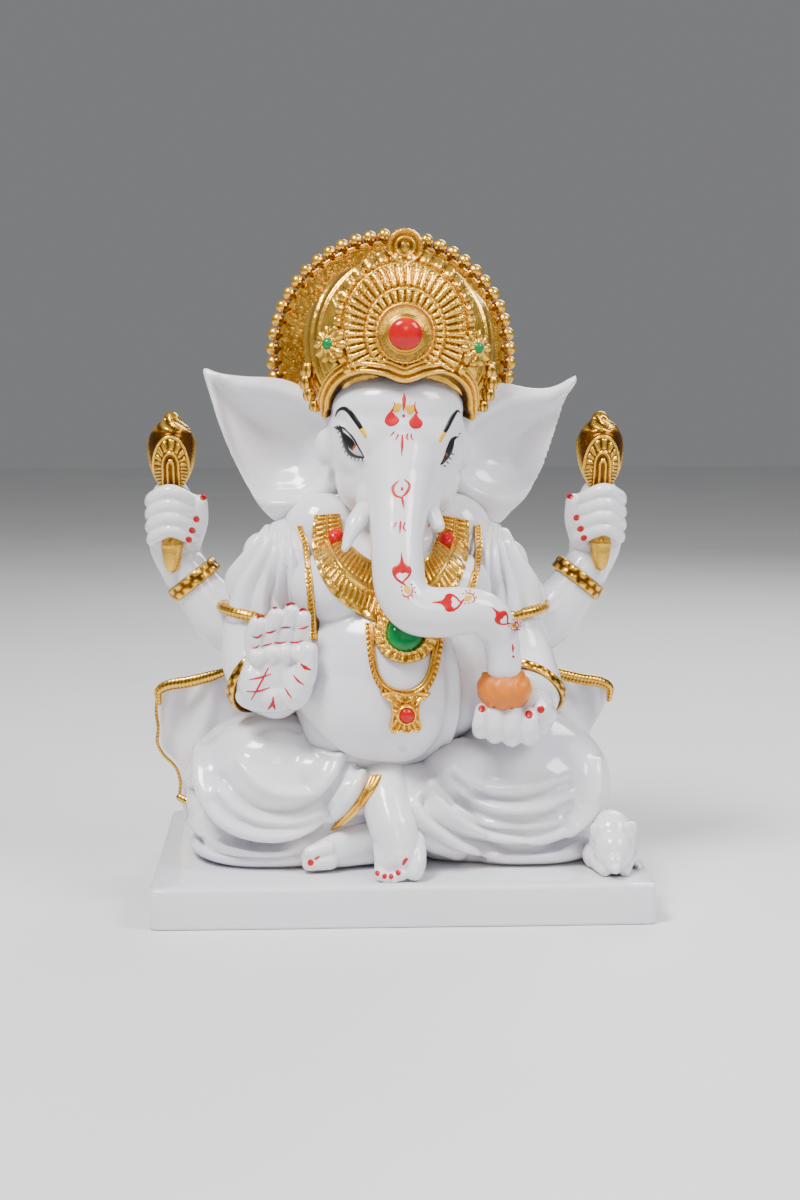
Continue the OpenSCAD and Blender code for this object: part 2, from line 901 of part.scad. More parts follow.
module left_sleeve() {
    color(RESIN) sleeve(1);
}

module sleeve_hem(side) {
    cast_against() {
        translate([torso_x, 0, 0]) mirror([side < 0 ? 1 : 0, 0, 0])
            bangle([53, 0, shoulder_z - 15], [0.35, -0.1, -1], elbow_r + 1.2, 2);
        torso_form();
        if (side < 0) right_arm_form(); else left_arm_form();
        translate([torso_x, 0, 0]) mirror([side < 0 ? 1 : 0, 0, 0]) {
            rear_arm_form();
            sleeve_form();
        }
    }
}

module right_sleeve_hem() {
    color(GOLD) sleeve_hem(-1);
}

module left_sleeve_hem() {
    color(GOLD) sleeve_hem(1);
}

// The shawl falls from the shoulders behind the figure and flares out sideways into two wings.
shawl_y = legs_d / 2;
wing_z = seat_z + 61;
wing_reach = knee_span * 0.555;

module shawl_form() {
    rows = [
        [shoulder_z + 4, 35, 9, 23], [shoulder_z - 14, 47, 10, 28], [shoulder_z - 30, 56, 10, shawl_y - 7],
        [wing_z + 5, 62, 9, shawl_y - 4], [wing_z + 1.5, 74, 7, shawl_y - 3], [wing_z - 2, wing_reach, 4.5, shawl_y - 3],
        [wing_z - 12, wing_reach, 5.5, shawl_y - 2], [wing_z - 32, wing_reach * 0.95, 9, shawl_y],
        [seat_z + 14, wing_reach * 0.94, 11, shawl_y + 2], [seat_z - 3, wing_reach * 0.93, 12, shawl_y + 3]
    ];
    skin([
        for (j = [0:len(rows) - 1])
            let (row = rows[len(rows) - 1 - j])
            ring([torso_x, row[3], row[0]], [1, 0, 0], [0, 1, 0], [row[1], row[2]], 20, j)
    ], [torso_x, shawl_y + 3, seat_z - 5], [torso_x, 22, shoulder_z + 7]);
}

module shawl_back() {
    color(RESIN) cast_against() {
        intersection() {
            shawl_form();
            above(seat_z);
        }
        torso_form();
        lap_form();
        half_leg_forms();
        right_side() rear_arm_form();
        left_side() rear_arm_form();
        right_arm_form();
        left_arm_form();
        right_side() sleeve_form();
        left_side() sleeve_form();
        right_side() tenon(tenon_d, tenon_l);
        left_side() tenon(tenon_d, tenon_l);
    }
}

module wing_border(side) {
    cast_against() {
        translate([torso_x, 0, 0]) limb([
            [side * (wing_reach - 0.5), shawl_y - 6, wing_z - 9], [side * (wing_reach - 2), shawl_y - 7, wing_z - 3],
            [side * (wing_reach - 12), shawl_y - 9, wing_z - 0.5], [side * (wing_reach - 26), shawl_y - 10, wing_z + 2]
        ], [2, 2.4, 2.4, 2], 10);
        shawl_form();
        if (side < 0) right_side() rear_arm_form(); else left_side() rear_arm_form();
        half_leg_forms();
        right_arm_form();
        left_arm_form();
    }
}

module right_wing_border() {
    color(GOLD) wing_border(-1);
}

module left_wing_border() {
    color(GOLD) wing_border(1);
}

// The gold edge of the shawl down the front of the chest.
module shawl_border(side, low) {
    cast_against() {
        limb([
            [torso_x + side * 34, -15, shoulder_z + 23], [torso_x + side * 33, -24, shoulder_z + 10],
            [torso_x + side * 30, -31, shoulder_z - 4], [torso_x + side * 28.5, -36, low]
        ], [2.8, 2.8, 2.8, 2.4], 10);
        torso_form();
        head_form();
        half_leg_forms();
        right_palm_form();
        right_side() sleeve_form();
        left_side() sleeve_form();
        ear_form();
        right_ear_form();
        trunk_form();
        tusk_form(-1, tusk_l);
    }
}

module right_shawl_border() {
    color(GOLD) shawl_border(-1, shoulder_z - 22);
}

module left_shawl_border() {
    color(GOLD) shawl_border(1, shoulder_z - 8);
}

// ---- Jewellery ---------------------------------------------------------------------------------

collar_z = shoulder_z - 6;
ruby_seats = [[-23, -28, shoulder_z + 17], [17.5, -28, shoulder_z + 16]];
small_ruby_d = 5;

module collar_form() {
    limb([
        for (a = [-80:20:80])
            [torso_x * 0.8 + 25 * sin(a), -19 - 13 * cos(a), collar_z + 27 - 26 * cos(a)]
    ], [for (a = [-80:20:80]) 7.5], 10, [0, 1, 0], 0.55);
}

module necklace() {
    color(GOLD) difference() {
        cast_against() {
            collar_form();
            torso_form();
            head_form();
            trunk_form();
            tusk_form(-1, tusk_l);
            tusk_form(1, tusk_l * 0.6);
            shawl_border(-1, shoulder_z - 22);
            shawl_border(1, shoulder_z - 8);
        }
        for (p = ruby_seats) translate(p) sphere(d = small_ruby_d + 2 * glue_gap, $fn = 24);
    }
}

module necklace_rubies() {
    color("crimson") for (p = ruby_seats) translate(p) sphere(d = small_ruby_d, $fn = 24);
}

// Each jewel on the belly stands on its curve: the belly's front surface at offset x and height z.
function belly_y(x, z) =
    belly_c.y - belly_r.y * sqrt(max(0.05, 1 - pow((x - belly_c.x) / belly_r.x, 2) - pow((z - belly_c.z) / belly_r.z, 2)));

gem_z = belly_c.z + 13;
gem_r = [7.5, 4, 7];
gem_c = [0, belly_y(0, gem_z) - 0.5, gem_z];
drop_z = belly_c.z - 11;

module pendant_setting() {
    color(GOLD) cast_against() {
        egg(gem_c + [0, 1, 0], [12, 4, 11]);
        egg(gem_c + [0, -1, 1], gem_r);
        torso_form();
        collar_form();
        trunk_form();
    }
}

module pendant_emerald() {
    color("forestgreen") cast_against() {
        egg(gem_c + [0, -1, 1], gem_r);
        torso_form();
        trunk_form();
        collar_form();
    }
}

module pendant_loop() {
    low = drop_z + 8;
    color(GOLD) cast_against() {
        limb([
            for (a = [-90:18:90]) let (x = 12.5 * sin(a), z = gem_z + 4 - (gem_z + 4 - low) * cos(a))
                [x, belly_y(x, z) - 0.8, z]
        ], [for (a = [-90:18:90]) 2.6], 10);
        torso_form();
        collar_form();
        egg(gem_c + [0, 1, 0], [12, 4, 11]);
        egg(gem_c + [0, -1, 1], gem_r);
        trunk_form();
        drop_form();
    }
}

module drop_form() {
    egg([0, belly_y(0, drop_z) - 0.5, drop_z], [5.6, 3, 7.5]);
}

module pendant_drop() {
    color(GOLD) difference() {
        cast_against() {
            drop_form();
            torso_form();
        }
        translate([0, belly_y(0, drop_z) - 3.4, drop_z]) sphere(d = 4 + 2 * glue_gap, $fn = 24);
    }
}

module pendant_ruby() {
    color("crimson") translate([0, belly_y(0, drop_z) - 3.4, drop_z]) sphere(d = 4, $fn = 24);
}

// ---- One line for each node --------------------------------------------------------------------

plinth();
plinth_dowels();
lap();
right_leg();
left_leg();
dhoti_border();
right_foot();
left_foot();
torso_dowels();
torso();
neck_dowel();
head();
trunk();
right_ear();
left_ear();
right_tusk();
left_tusk();
crown_cap();
crown_medallion();
crown_band();
crown_flowers();
crown_finial();
crown_ruby();
crown_emeralds();
halo();
halo_beads();
right_arm();
right_palm();
right_bracelet();
left_arm();
left_hand();
left_bracelet();
laddu();
rear_right_arm();
rear_right_fist();
rear_right_bangle();
rear_right_mace();
rear_left_arm();
rear_left_fist();
rear_left_bangle();
rear_left_mace();
right_sleeve();
left_sleeve();
right_sleeve_hem();
left_sleeve_hem();
shawl_back();
right_shawl_border();
left_shawl_border();
right_wing_border();
left_wing_border();
necklace();
necklace_rubies();
pendant_setting();
pendant_emerald();
pendant_loop();
pendant_drop();
pendant_ruby();
mouse();
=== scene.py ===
"""Seated Ganesha idol in polished white resin with antique gold ornament, built around the packed model.

Sizes in the tables below are millimetres in the packed model's own frame: the figure's right side is at -X,
its front faces -Y, and the plinth stands on Z = 0. Each surface is turned into metres when its mesh is made.
"""

from math import asin, cos, dist, pi, radians, sin

import bpy
import numpy as np
from mathutils import Matrix, Vector


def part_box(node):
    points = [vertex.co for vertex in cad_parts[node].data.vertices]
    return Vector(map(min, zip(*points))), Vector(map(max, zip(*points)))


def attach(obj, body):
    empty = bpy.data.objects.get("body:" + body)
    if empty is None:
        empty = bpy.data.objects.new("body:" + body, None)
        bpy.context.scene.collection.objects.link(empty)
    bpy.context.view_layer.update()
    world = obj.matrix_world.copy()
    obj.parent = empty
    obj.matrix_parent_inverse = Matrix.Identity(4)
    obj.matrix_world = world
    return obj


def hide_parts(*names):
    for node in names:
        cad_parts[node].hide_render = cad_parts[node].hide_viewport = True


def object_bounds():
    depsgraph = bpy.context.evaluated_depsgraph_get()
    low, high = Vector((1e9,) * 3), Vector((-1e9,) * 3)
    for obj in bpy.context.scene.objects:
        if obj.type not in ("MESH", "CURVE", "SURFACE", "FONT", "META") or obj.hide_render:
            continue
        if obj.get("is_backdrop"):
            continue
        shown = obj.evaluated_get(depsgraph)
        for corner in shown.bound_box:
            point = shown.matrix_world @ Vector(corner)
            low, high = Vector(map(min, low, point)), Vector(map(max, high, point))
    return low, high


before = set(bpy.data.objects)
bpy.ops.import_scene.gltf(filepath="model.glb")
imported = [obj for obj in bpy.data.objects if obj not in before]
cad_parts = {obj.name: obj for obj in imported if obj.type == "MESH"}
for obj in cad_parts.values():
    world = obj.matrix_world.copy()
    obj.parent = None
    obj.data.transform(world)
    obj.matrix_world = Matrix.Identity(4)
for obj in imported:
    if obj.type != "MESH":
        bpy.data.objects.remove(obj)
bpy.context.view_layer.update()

bl_info = {
    "name": "Seated Ganesha idol",
    "version": (1, 0, 0),
    "blender": (4, 5, 0),
    "location": "3D View > Sidebar > Idol",
    "description": "Builds the resin castings, gold ornament and painted marks of a seated Ganesha idol",
    "category": "Object",
}

MM = 0.001
MIDDLE = -3.5  # the torso's middle, and the mirror line of the raised arms
SEAT_CUT, MOUSE_CUT = 14.6, 14.7  # where the castings on the plinth are cut level, just under its top
STONE_X, STONE_Z = 1.5, 213.2  # middle of the crown's red stone
HALO_X, HALO_Z, BEAD_RING = -1.4, 205.5, 46.4  # middle of the halo, and the radius of its ring of beads
HALO_CUT = 179.0  # height at which the halo is cut level
FACE_PLANE, TRUNK_PLANE, PALM_PLANE, LIMB_PLANE = -33, -50, -38, -45  # Y of the planes that marks are laid from

# The line along which marks and ornament are laid on the skins: the direction the figure is looked at from.
TURN, DIP = radians(2.6), radians(7.0)
EYE = np.array([-32.9, -747.7, 203.6])
AHEAD = np.array([sin(TURN) * cos(DIP), cos(TURN) * cos(DIP), -sin(DIP)])
SIDE = np.array([cos(TURN), -sin(TURN), 0.0])
RISE = np.cross(SIDE, AHEAD)

SKINS = {}  # finished skins by name, which ornament and paint are laid on


# ---- Curves and closed skins ---------------------------------------------------------------------


def unit(v):
    """Each vector divided by its own length."""
    return v / np.maximum(np.linalg.norm(v, axis=-1, keepdims=True), 1e-9)


def spline(points, count):
    """A Catmull-Rom curve: each stretch is a cubic blend of the four points around it. Evenly spaced by length."""
    p = np.asarray(points, float)
    p = p[:, None] if p.ndim == 1 else p
    ends = np.vstack([2 * p[0] - p[1], p, 2 * p[-1] - p[-2]])

    def at(t):
        i = np.minimum(t.astype(int), len(p) - 2)
        f = (t - i)[:, None]
        a, b, c, d = ends[i], ends[i + 1], ends[i + 2], ends[i + 3]
        return 0.5 * (2 * b + (c - a) * f + (2 * a - 5 * b + 4 * c - d) * f**2 + (3 * b - a - 3 * c + d) * f**3)

    fine = np.linspace(0, len(p) - 1, 12 * len(p))
    run = np.concatenate([[0], np.cumsum(np.linalg.norm(np.diff(at(fine), axis=0), axis=1))])
    return at(np.interp(np.linspace(0, run[-1], count), run, fine)) if p.shape[1] > 1 else at(
        np.linspace(0, len(p) - 1, count))


def closed_spline(points, count):
    """The same curve through a loop of points, back to the first one. Evenly spaced by parameter."""
    p = np.asarray(points, float)
    t = np.linspace(0, len(p), count, endpoint=False)
    i = np.minimum(t.astype(int), len(p) - 1)
    f = (t - i)[:, None]
    a, b, c, d = p[i - 1], p[i], p[(i + 1) % len(p)], p[(i + 2) % len(p)]
    return 0.5 * (2 * b + (c - a) * f + (2 * a - 5 * b + 4 * c - d) * f**2 + (3 * b - a - 3 * c + d) * f**3)


def step(low, high, x):
    """A smooth rise from 0 at low to 1 at high: 3t2 - 2t3."""
    t = np.clip((x - low) / (high - low), 0, 1)
    return t * t * (3 - 2 * t)


def hill(x, width):
    """A bell: e to the minus (x / width) squared."""
    return np.exp(-((x / width) ** 2))


def skin(rings, relief=None, loop=False):
    """A closed skin over m rings of n points: quads between rings, and a fan to a pole at each end, or a loop."""
    rings = np.asarray(rings, float)
    m, n, _ = rings.shape
    relief = np.full((m, n), 0.6) if relief is None else np.broadcast_to(relief, (m, n))
    k, nxt = np.arange(n), (np.arange(n) + 1) % n
    a = np.arange(m if loop else m - 1)[:, None] * n
    b = (a + n) % (m * n)
    quads = np.stack([a + k, a + nxt, b + nxt, b + k], -1).reshape(-1, 4)
    verts, level = rings.reshape(-1, 3), relief.reshape(-1)
    tris = np.zeros((0, 3), int)
    if not loop:
        verts = np.vstack([verts, rings[0].mean(0), rings[-1].mean(0)])
        level = np.concatenate([level, [relief[0].mean(), relief[-1].mean()]])
        top = (m - 1) * n
        tris = np.vstack([
            np.stack([nxt, k, np.full(n, m * n)], -1),
            np.stack([top + k, top + nxt, np.full(n, m * n + 1)], -1)])
    whole = np.vstack([quads[:, [0, 1, 2]], quads[:, [0, 2, 3]], tris])
    p, q, r = (verts[whole[:, i]] - verts.mean(0) for i in range(3))
    if np.einsum("ij,ij->i", p, np.cross(q, r)).sum() < 0:
        quads, tris = quads[:, ::-1], tris[:, ::-1]
    return verts, quads, tris, level


def ellipsoid(c, r, square=2.0, rows=26, sides=48, tilt=0.0):
    """Latitude rings c + r (cos a cos b, cos a sin b, sin a), squared off by a power, tipped sideways by tilt."""
    lat = np.linspace(-pi / 2, pi / 2, rows + 2)[1:-1, None]
    lon = np.linspace(0, 2 * pi, sides, endpoint=False)[None, :]
    power = 2.0 / square
    cx, sx = np.cos(lon), np.sin(lon)
    x = np.sign(cx) * np.abs(cx) ** power * np.cos(lat)
    y = np.sign(sx) * np.abs(sx) ** power * np.cos(lat)
    p = np.stack([x * r[0], y * r[1], np.sin(lat) * r[2] + 0 * lon], -1)
    t = radians(tilt)
    turn = np.array([[cos(t), 0, sin(t)], [0, 1, 0], [-sin(t), 0, cos(t)]])
    return skin(p @ turn.T + np.array(c, float))


def tube(path, radii, flat=1.0, ref=(0, 1, 0), sides=28, rows=40, bumps=None, loop=False):
    """Circles carried along a smooth path, squeezed by flat across ref, with a radius that runs between radii.

    bumps(run, angle) adds height to the radius. The ends are half-rounds, or the path is a loop.
    """
    if loop:
        p = closed_spline(path, rows)
        t = unit(np.roll(p, -1, 0) - np.roll(p, 1, 0))
    else:
        p = spline(path, rows)
        t = unit(np.gradient(p, axis=0))
    r = np.interp(np.linspace(0, 1, len(p)), np.linspace(0, 1, len(radii)), radii)
    run = np.concatenate([[0], np.cumsum(np.linalg.norm(np.diff(p, axis=0), axis=1))])
    if not loop:
        cap = np.linspace(pi / 2, 0, 7)[1:-1]
        p = np.vstack([p[0] - t[0] * r[0] * np.sin(cap)[:, None], p, p[-1] + t[-1] * r[-1] * np.sin(cap)[::-1, None]])
        t = np.vstack([np.repeat(t[:1], 5, 0), t, np.repeat(t[-1:], 5, 0)])
        r = np.concatenate([r[0] * np.cos(cap), r, r[-1] * np.cos(cap)[::-1]])
        run = np.concatenate([np.full(5, run[0]), run, np.full(5, run[-1])])
    u = unit(np.cross(np.asarray(ref, float), t))
    v = np.cross(t, u)
    angle = np.linspace(0, 2 * pi, sides, endpoint=False)
    high = np.zeros((len(p), sides)) if bumps is None else bumps(run[:, None], angle[None, :])
    reach = r[:, None] + high
    rings = p[:, None] + u[:, None] * (reach * np.cos(angle))[..., None] \
        + v[:, None] * (reach * np.sin(angle) * flat)[..., None]
    spread = np.ptp(high)
    return skin(rings, 0.6 if spread < 1e-6 else (high - high.min()) / spread, loop)


def lathe(axis_point, up, out, profile, sides=64, bumps=None):
    """A profile of (radius, height) pairs carried round an axis. bumps(height, angle, radius) adds to the radius."""
    up, out = unit(np.array(up, float)), unit(np.array(out, float))
    across = np.cross(up, out)
    prof = np.asarray(profile, float)
    angle = np.linspace(0, 2 * pi, sides, endpoint=False)
    high = np.zeros((len(prof), sides))
    if bumps is not None:
        high = bumps(prof[:, 1:2], angle[None, :], prof[:, :1])
    reach = np.maximum(prof[:, :1] + high, 0.01)
    rings = np.array(axis_point, float) + up * prof[:, 1, None, None] \
        + out * (reach * np.cos(angle))[..., None] + across * (reach * np.sin(angle))[..., None]
    spread = np.ptp(high)
    return skin(rings, 0.6 if spread < 1e-6 else (high - high.min()) / spread)


def mirrored(side, middle=MIDDLE):
    """A function that puts a point out from the mirror line, to the side given by its sign."""
    return lambda x, y, z: (middle + side * x, y, z)


def smooth_profile(points, rows):
    """A lathe profile through the given (radius, height) points, rounded by a Catmull-Rom curve."""
    return np.maximum(spline(points, rows), [[0.01, -1e9]])


# ---- Meshes and objects --------------------------------------------------------------------------


def new_mesh(name, shells):
    """One mesh in metres from closed shells of points, quads and triangles, with the relief as an attribute."""
    verts, faces, sizes, level, base = [], [], [], [], 0
    for points, quads, tris, height in shells:
        verts.append(points)
        level.append(height)
        faces += [(quads + base).reshape(-1), (tris + base).reshape(-1)]
        sizes += [np.full(len(quads), 4), np.full(len(tris), 3)]
        base += len(points)
    verts, faces, sizes = np.vstack(verts) * MM, np.concatenate(faces), np.concatenate(sizes)
    mesh = bpy.data.meshes.new(name)
    mesh.vertices.add(len(verts))
    mesh.vertices.foreach_set("co", verts.astype(np.float32).ravel())
    mesh.loops.add(len(faces))
    mesh.loops.foreach_set("vertex_index", faces.astype(np.int32))
    mesh.polygons.add(len(sizes))
    mesh.polygons.foreach_set("loop_start", np.concatenate([[0], np.cumsum(sizes)[:-1]]).astype(np.int32))
    relief = mesh.attributes.new("relief", "FLOAT", "POINT")
    relief.data.foreach_set("value", np.concatenate(level).astype(np.float32))
    mesh.update(calc_edges=True)
    mesh.validate()
    return mesh


def place(mesh, name):
    """Links a mesh as a smooth-shaded object at the origin."""
    mesh.polygons.foreach_set("use_smooth", np.ones(len(mesh.polygons), bool))
    obj = bpy.data.objects.new(name, mesh)
    bpy.context.scene.collection.objects.link(obj)
    return obj


def settle(obj):
    """Replaces an object's mesh by what its modifiers make of it, and removes the modifiers."""
    bpy.context.view_layer.update()
    made = bpy.data.meshes.new_from_object(obj.evaluated_get(bpy.context.evaluated_depsgraph_get()))
    obj.modifiers.clear()
    obj.data = made
    return obj


def cast_skin(name, shells, voxel, passes, carve=None, after=2):
    """Merges overlapping forms into one skin, as a mould does: a voxel remesh, smoothing, then the carved relief.

    carve(points, normals) gives each point's height in millimetres along its own normal.
    """
    obj = place(new_mesh(name, shells), name)
    remesh = obj.modifiers.new("merge", "REMESH")
    remesh.mode, remesh.voxel_size, remesh.use_smooth_shade = "VOXEL", voxel * MM, True
    ease = obj.modifiers.new("ease", "SMOOTH")
    ease.factor, ease.iterations = 0.5, passes
    settle(obj)
    if carve is not None:
        mesh = obj.data
        count = len(mesh.vertices)
        co, normal = np.empty(count * 3, np.float32), np.empty(count * 3, np.float32)
        mesh.vertices.foreach_get("co", co)
        mesh.vertices.foreach_get("normal", normal)
        points, normals = co.reshape(-1, 3) / MM, normal.reshape(-1, 3)
        points = points + normals * carve(points, normals)[:, None]
        mesh.vertices.foreach_set("co", (points * MM).astype(np.float32).ravel())
        mesh.update()
        if after:
            ease = obj.modifiers.new("ease", "SMOOTH")
            ease.factor, ease.iterations = 0.5, after
            settle(obj)
    SKINS[name] = obj
    return obj


def finish_piece(obj, material, slot, *nodes):
    """Gives a piece its material, its body, its slot and the packed nodes that it stands for."""
    obj.data.materials.clear()
    obj.data.materials.append(material)
    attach(obj, "root")
    if nodes:
        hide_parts(*nodes)
    return obj


def piece(name, shells, material, slot, *nodes):
    """A finished piece straight from its shells."""
    return finish_piece(place(new_mesh(name, shells), name), material, slot, *nodes)


def resin_cast(nodes, *cast, **more):
    """A casting of polished resin that stands for the given packed nodes."""
    return finish_piece(cast_skin(*cast, **more), LOOK["resin"], "white_resin", *nodes)


def gild(finish, name, shells, *nodes):
    """A gilded piece in one of the gold finishes."""
    return piece(name, shells, LOOK[finish], "gold_paint", *nodes)


# ---- Reliefs laid on the skins -------------------------------------------------------------------


def drop(targets, plane_points, depth, reach=24.0):
    """Lays points of the plane Y = depth on the nearest of some skins, along the looking line.

    They start 45 mm nearer the viewer. A Shrinkwrap does it on a cloud of points, turned so that its own Y is the
    looking line. A point that meets nothing, or whose way is over reach longer or shorter than the median one, goes as
    far as the median of the rest.
    """
    flat = plane_points.reshape(-1, 2)
    start = np.stack([flat[:, 0], np.full(len(flat), float(depth)), flat[:, 1]], -1) - AHEAD * 45
    basis = np.stack([SIDE, AHEAD, RISE])
    mesh = bpy.data.meshes.new("cloud")
    mesh.vertices.add(len(start))
    mesh.vertices.foreach_set("co", (start @ basis.T * MM).astype(np.float32).ravel())
    obj = bpy.data.objects.new("cloud", mesh)
    bpy.context.scene.collection.objects.link(obj)
    obj.matrix_world = Matrix([[*basis.T[i], 0.0] for i in range(3)] + [[0, 0, 0, 1]])
    best = None
    for target in targets:
        wrap = obj.modifiers.new("meet", "SHRINKWRAP")
        wrap.wrap_method, wrap.target = "PROJECT", SKINS[target]
        wrap.use_project_y = wrap.use_positive_direction = True
        wrap.use_negative_direction = False
        bpy.context.view_layer.update()
        made = obj.evaluated_get(bpy.context.evaluated_depsgraph_get()).to_mesh()
        co = np.empty(len(start) * 3, np.float32)
        made.vertices.foreach_get("co", co)
        obj.modifiers.clear()
        met = co.reshape(-1, 3) / MM @ basis
        gone = (met - start) @ AHEAD
        gone[gone < 1e-3] = 1e6
        best = (met, gone) if best is None else (
            np.where((gone < best[1])[:, None], met, best[0]), np.minimum(gone, best[1]))
    bpy.data.objects.remove(obj)
    bpy.data.meshes.remove(mesh)
    met, gone = best
    missed = (gone > 1e5) | (np.abs(gone - np.median(gone[gone < 1e5])) > reach if (gone < 1e5).any() else gone > 0)
    if missed.any():
        near = np.median(gone[~missed]) if (~missed).any() else 45.0
        met = np.where(missed[:, None], start + AHEAD * near, met)
    return met.reshape(plane_points.shape[:-1] + (3,))


def grid_normals(base, wrap=False):
    """Normals of a grid of points: the cross product of its two slopes, turned towards the viewer."""
    if wrap:
        across = np.roll(base, -1, 1) - np.roll(base, 1, 1)
    else:
        across = np.gradient(base, axis=1)
    n = unit(np.cross(np.gradient(base, axis=0), across))
    n = n * np.where((n @ AHEAD) > 0, -1, 1)[..., None]
    lean = unit(n + -0.35 * AHEAD)
    return unit(lean)


def soften(grid, times):
    """Each value becomes the mean of itself and its neighbours along both directions."""
    for _ in range(times):
        pad = np.pad(grid, ((1, 1), (1, 1), (0, 0)), mode="edge")
        grid = (pad[1:-1, 1:-1] * 2 + pad[:-2, 1:-1] + pad[2:, 1:-1] + pad[1:-1, :-2] + pad[1:-1, 2:]) / 6
    return grid


def drape(base, times):
    """Rounds a laid grid as a stiff strip would: a coarse grid is softened, ruled back to full size, softened again."""
    if not times:
        return base
    m, n, _ = base.shape
    rows, cols = np.linspace(0, m - 1, max(8, m // 9)), np.linspace(0, n - 1, max(4, n // 4))
    coarse = soften(base[rows.astype(int)][:, cols.astype(int)], times)
    wide = np.stack([[np.interp(np.arange(m), rows, coarse[:, j, k]) for j in range(len(cols))] for k in range(3)], -1)
    fine = np.stack([[np.interp(np.arange(n), cols, wide[:, i, k]) for i in range(m)] for k in range(3)], -1)
    return soften(fine, 8)


def strip_shell(base, height, sink):
    """A closed strip: each row is a loop of raised front points and sunk back points, with a pole at each end."""
    n = grid_normals(base)
    front = base + n * height[..., None]
    back = base - n * sink
    rings = np.concatenate([front, back[:, ::-1]], 1)
    top = max(height.max(), 1e-6)
    level = np.concatenate([height / top, np.zeros_like(height)], 1)
    return skin(rings, level)


def disc_shell(base, height, sink):
    """A closed disc: a sunk back ring, then raised front rings from the rim to the middle."""
    n = grid_normals(base, wrap=True)
    n[-1] = unit(n[-1].mean(0))
    front = base + n * height[..., None]
    back = base[:1] - n[:1] * sink
    level = np.concatenate([np.zeros((1, height.shape[1])), height / max(height.max(), 1e-6)])
    return skin(np.concatenate([back, front]), level)


def between(edge_a, edge_b, rows, cols):
    """A grid ruled between two smooth edges, and how far along and across it each point is."""
    a, b = spline(edge_a, rows), spline(edge_b, rows)
    v = np.linspace(0, 1, cols)
    grid = a[:, None] * (1 - v)[None, :, None] + b[:, None] * v[None, :, None]
    mid = (a + b) / 2
    run = np.concatenate([[0], np.cumsum(np.linalg.norm(np.diff(mid, axis=0), axis=1))])
    return grid, run[:, None] + 0 * v[None, :], v[None, :] + 0 * run[:, None]


def lay_strips(targets, depth, strips, sink=0.6, ease=0):
    """Lays ruled strips on skins. Each strip is (edge, other edge, rows, columns, height(run, across))."""
    made = [between(*s[:4]) for s in strips]
    flat = np.concatenate([g.reshape(-1, 2) for g, _, _ in made])
    met = drop(targets, flat, depth)
    shells, at = [], 0
    for (grid, run, across), s in zip(made, strips):
        base = met[at:at + grid.shape[0] * grid.shape[1]].reshape(grid.shape[:2] + (3,))
        at += grid.shape[0] * grid.shape[1]
        shells.append(strip_shell(drape(base, ease), s[4](run, across) + 0 * run, sink))
    return shells


def stroke(points, widths, high=0.16, rows=None):
    """A brush stroke: a strip of changing width about a smooth line, barely domed."""
    length = sum(dist(points[i], points[i + 1]) for i in range(len(points) - 1))
    rows = rows or max(6, int(length / 0.35))
    line = spline(points, rows)
    w = 1.2 * np.interp(np.linspace(0, 1, rows), np.linspace(0, 1, len(widths)), widths)
    side = unit(np.gradient(line, axis=0)) @ np.array([[0, 1], [-1, 0]])
    edge = side * w[:, None] / 2
    return (line - edge, line + edge, rows, 5, lambda run, v: high * (0.6 + 0.4 * np.sin(pi * v)))


def outline_grid(outline, rows=8, sides=48):
    """Rings that shrink from a closed smooth outline to its middle."""
    ring = closed_spline(outline, sides)
    mid = ring.mean(0)
    share = np.linspace(1, 0.02, rows)[:, None, None]
    return mid + (ring - mid) * share, share[..., 0] + 0 * ring[None, :, 0]


def lay_discs(targets, depth, discs, sink=0.4, ease=0):
    """Lays star-shaped patches on skins. Each is (outline, height(share, angle), rows, sides).

    With ease, each is first flattened to the plane that fits its points best.
    """
    made = [outline_grid(d[0], rows=d[2], sides=d[3]) for d in discs]
    met = drop(targets, np.concatenate([g.reshape(-1, 2) for g, _ in made]), depth)
    shells, at = [], 0
    for (grid, share), d in zip(made, discs):
        base = met[at:at + grid.shape[0] * grid.shape[1]].reshape(grid.shape[:2] + (3,))
        at += grid.shape[0] * grid.shape[1]
        angle = np.linspace(0, 2 * pi, grid.shape[1], endpoint=False)[None, :]
        if ease:
            plane = np.c_[grid.reshape(-1, 2), np.ones(grid[..., 0].size)]
            fit = plane @ np.linalg.lstsq(plane, base.reshape(-1, 3), rcond=None)[0]
            base = fit.reshape(base.shape)
        shells.append(disc_shell(base, d[1](share, angle) + 0 * share, sink))
    return shells


def blot(outline, high=0.16):
    """A flat patch of paint inside an outline."""
    return (outline, lambda share, angle: high * (1 - share**6 * 0.6), 7, 40)


def spot(x, z, r, high=0.16, squash=1.0):
    """A round spot of paint."""
    angle = np.linspace(0, 2 * pi, 10, endpoint=False)
    return blot(np.stack([x + r * np.cos(angle), z + r * squash * np.sin(angle)], -1), high)


# ---- Finishes ------------------------------------------------------------------------------------


def colour_setting(name, description, default):
    """A colour that a user can change."""
    return bpy.props.FloatVectorProperty(
        name=name, description=description, subtype="COLOR", size=3, min=0, max=1, default=default)


class IdolFinishes(bpy.types.PropertyGroup):
    """Colours of the resin, the gilding and the paints."""

    resin: colour_setting("Resin", "White of the polished resin", (0.8, 0.79, 0.83))
    # The rubbed gold is the gilding on the high parts and partly painted highlight; the recessed one is partly antique
    # amber glaze and partly painted shade.
    gold_high: colour_setting("Gold, rubbed", "Gilding on the high parts of the relief", (0.84, 0.49, 0.065))
    gold_recess_glaze_and_shade: colour_setting("Gold, recessed", "Antique amber in the recesses", (0.22, 0.078, 0.004))
    red: colour_setting("Red enamel", "Stones, nails and red marks", (0.52, 0.0, 0.004))
    green: colour_setting("Green enamel", "Green stones", (0.0, 0.2, 0.045))
    orange: colour_setting("Orange paint", "The sweet", (0.66, 0.165, 0.0))
    yellow: colour_setting("Yellow paint", "Ends of the brows and the middles of the marks", (0.8, 0.44, 0.012))


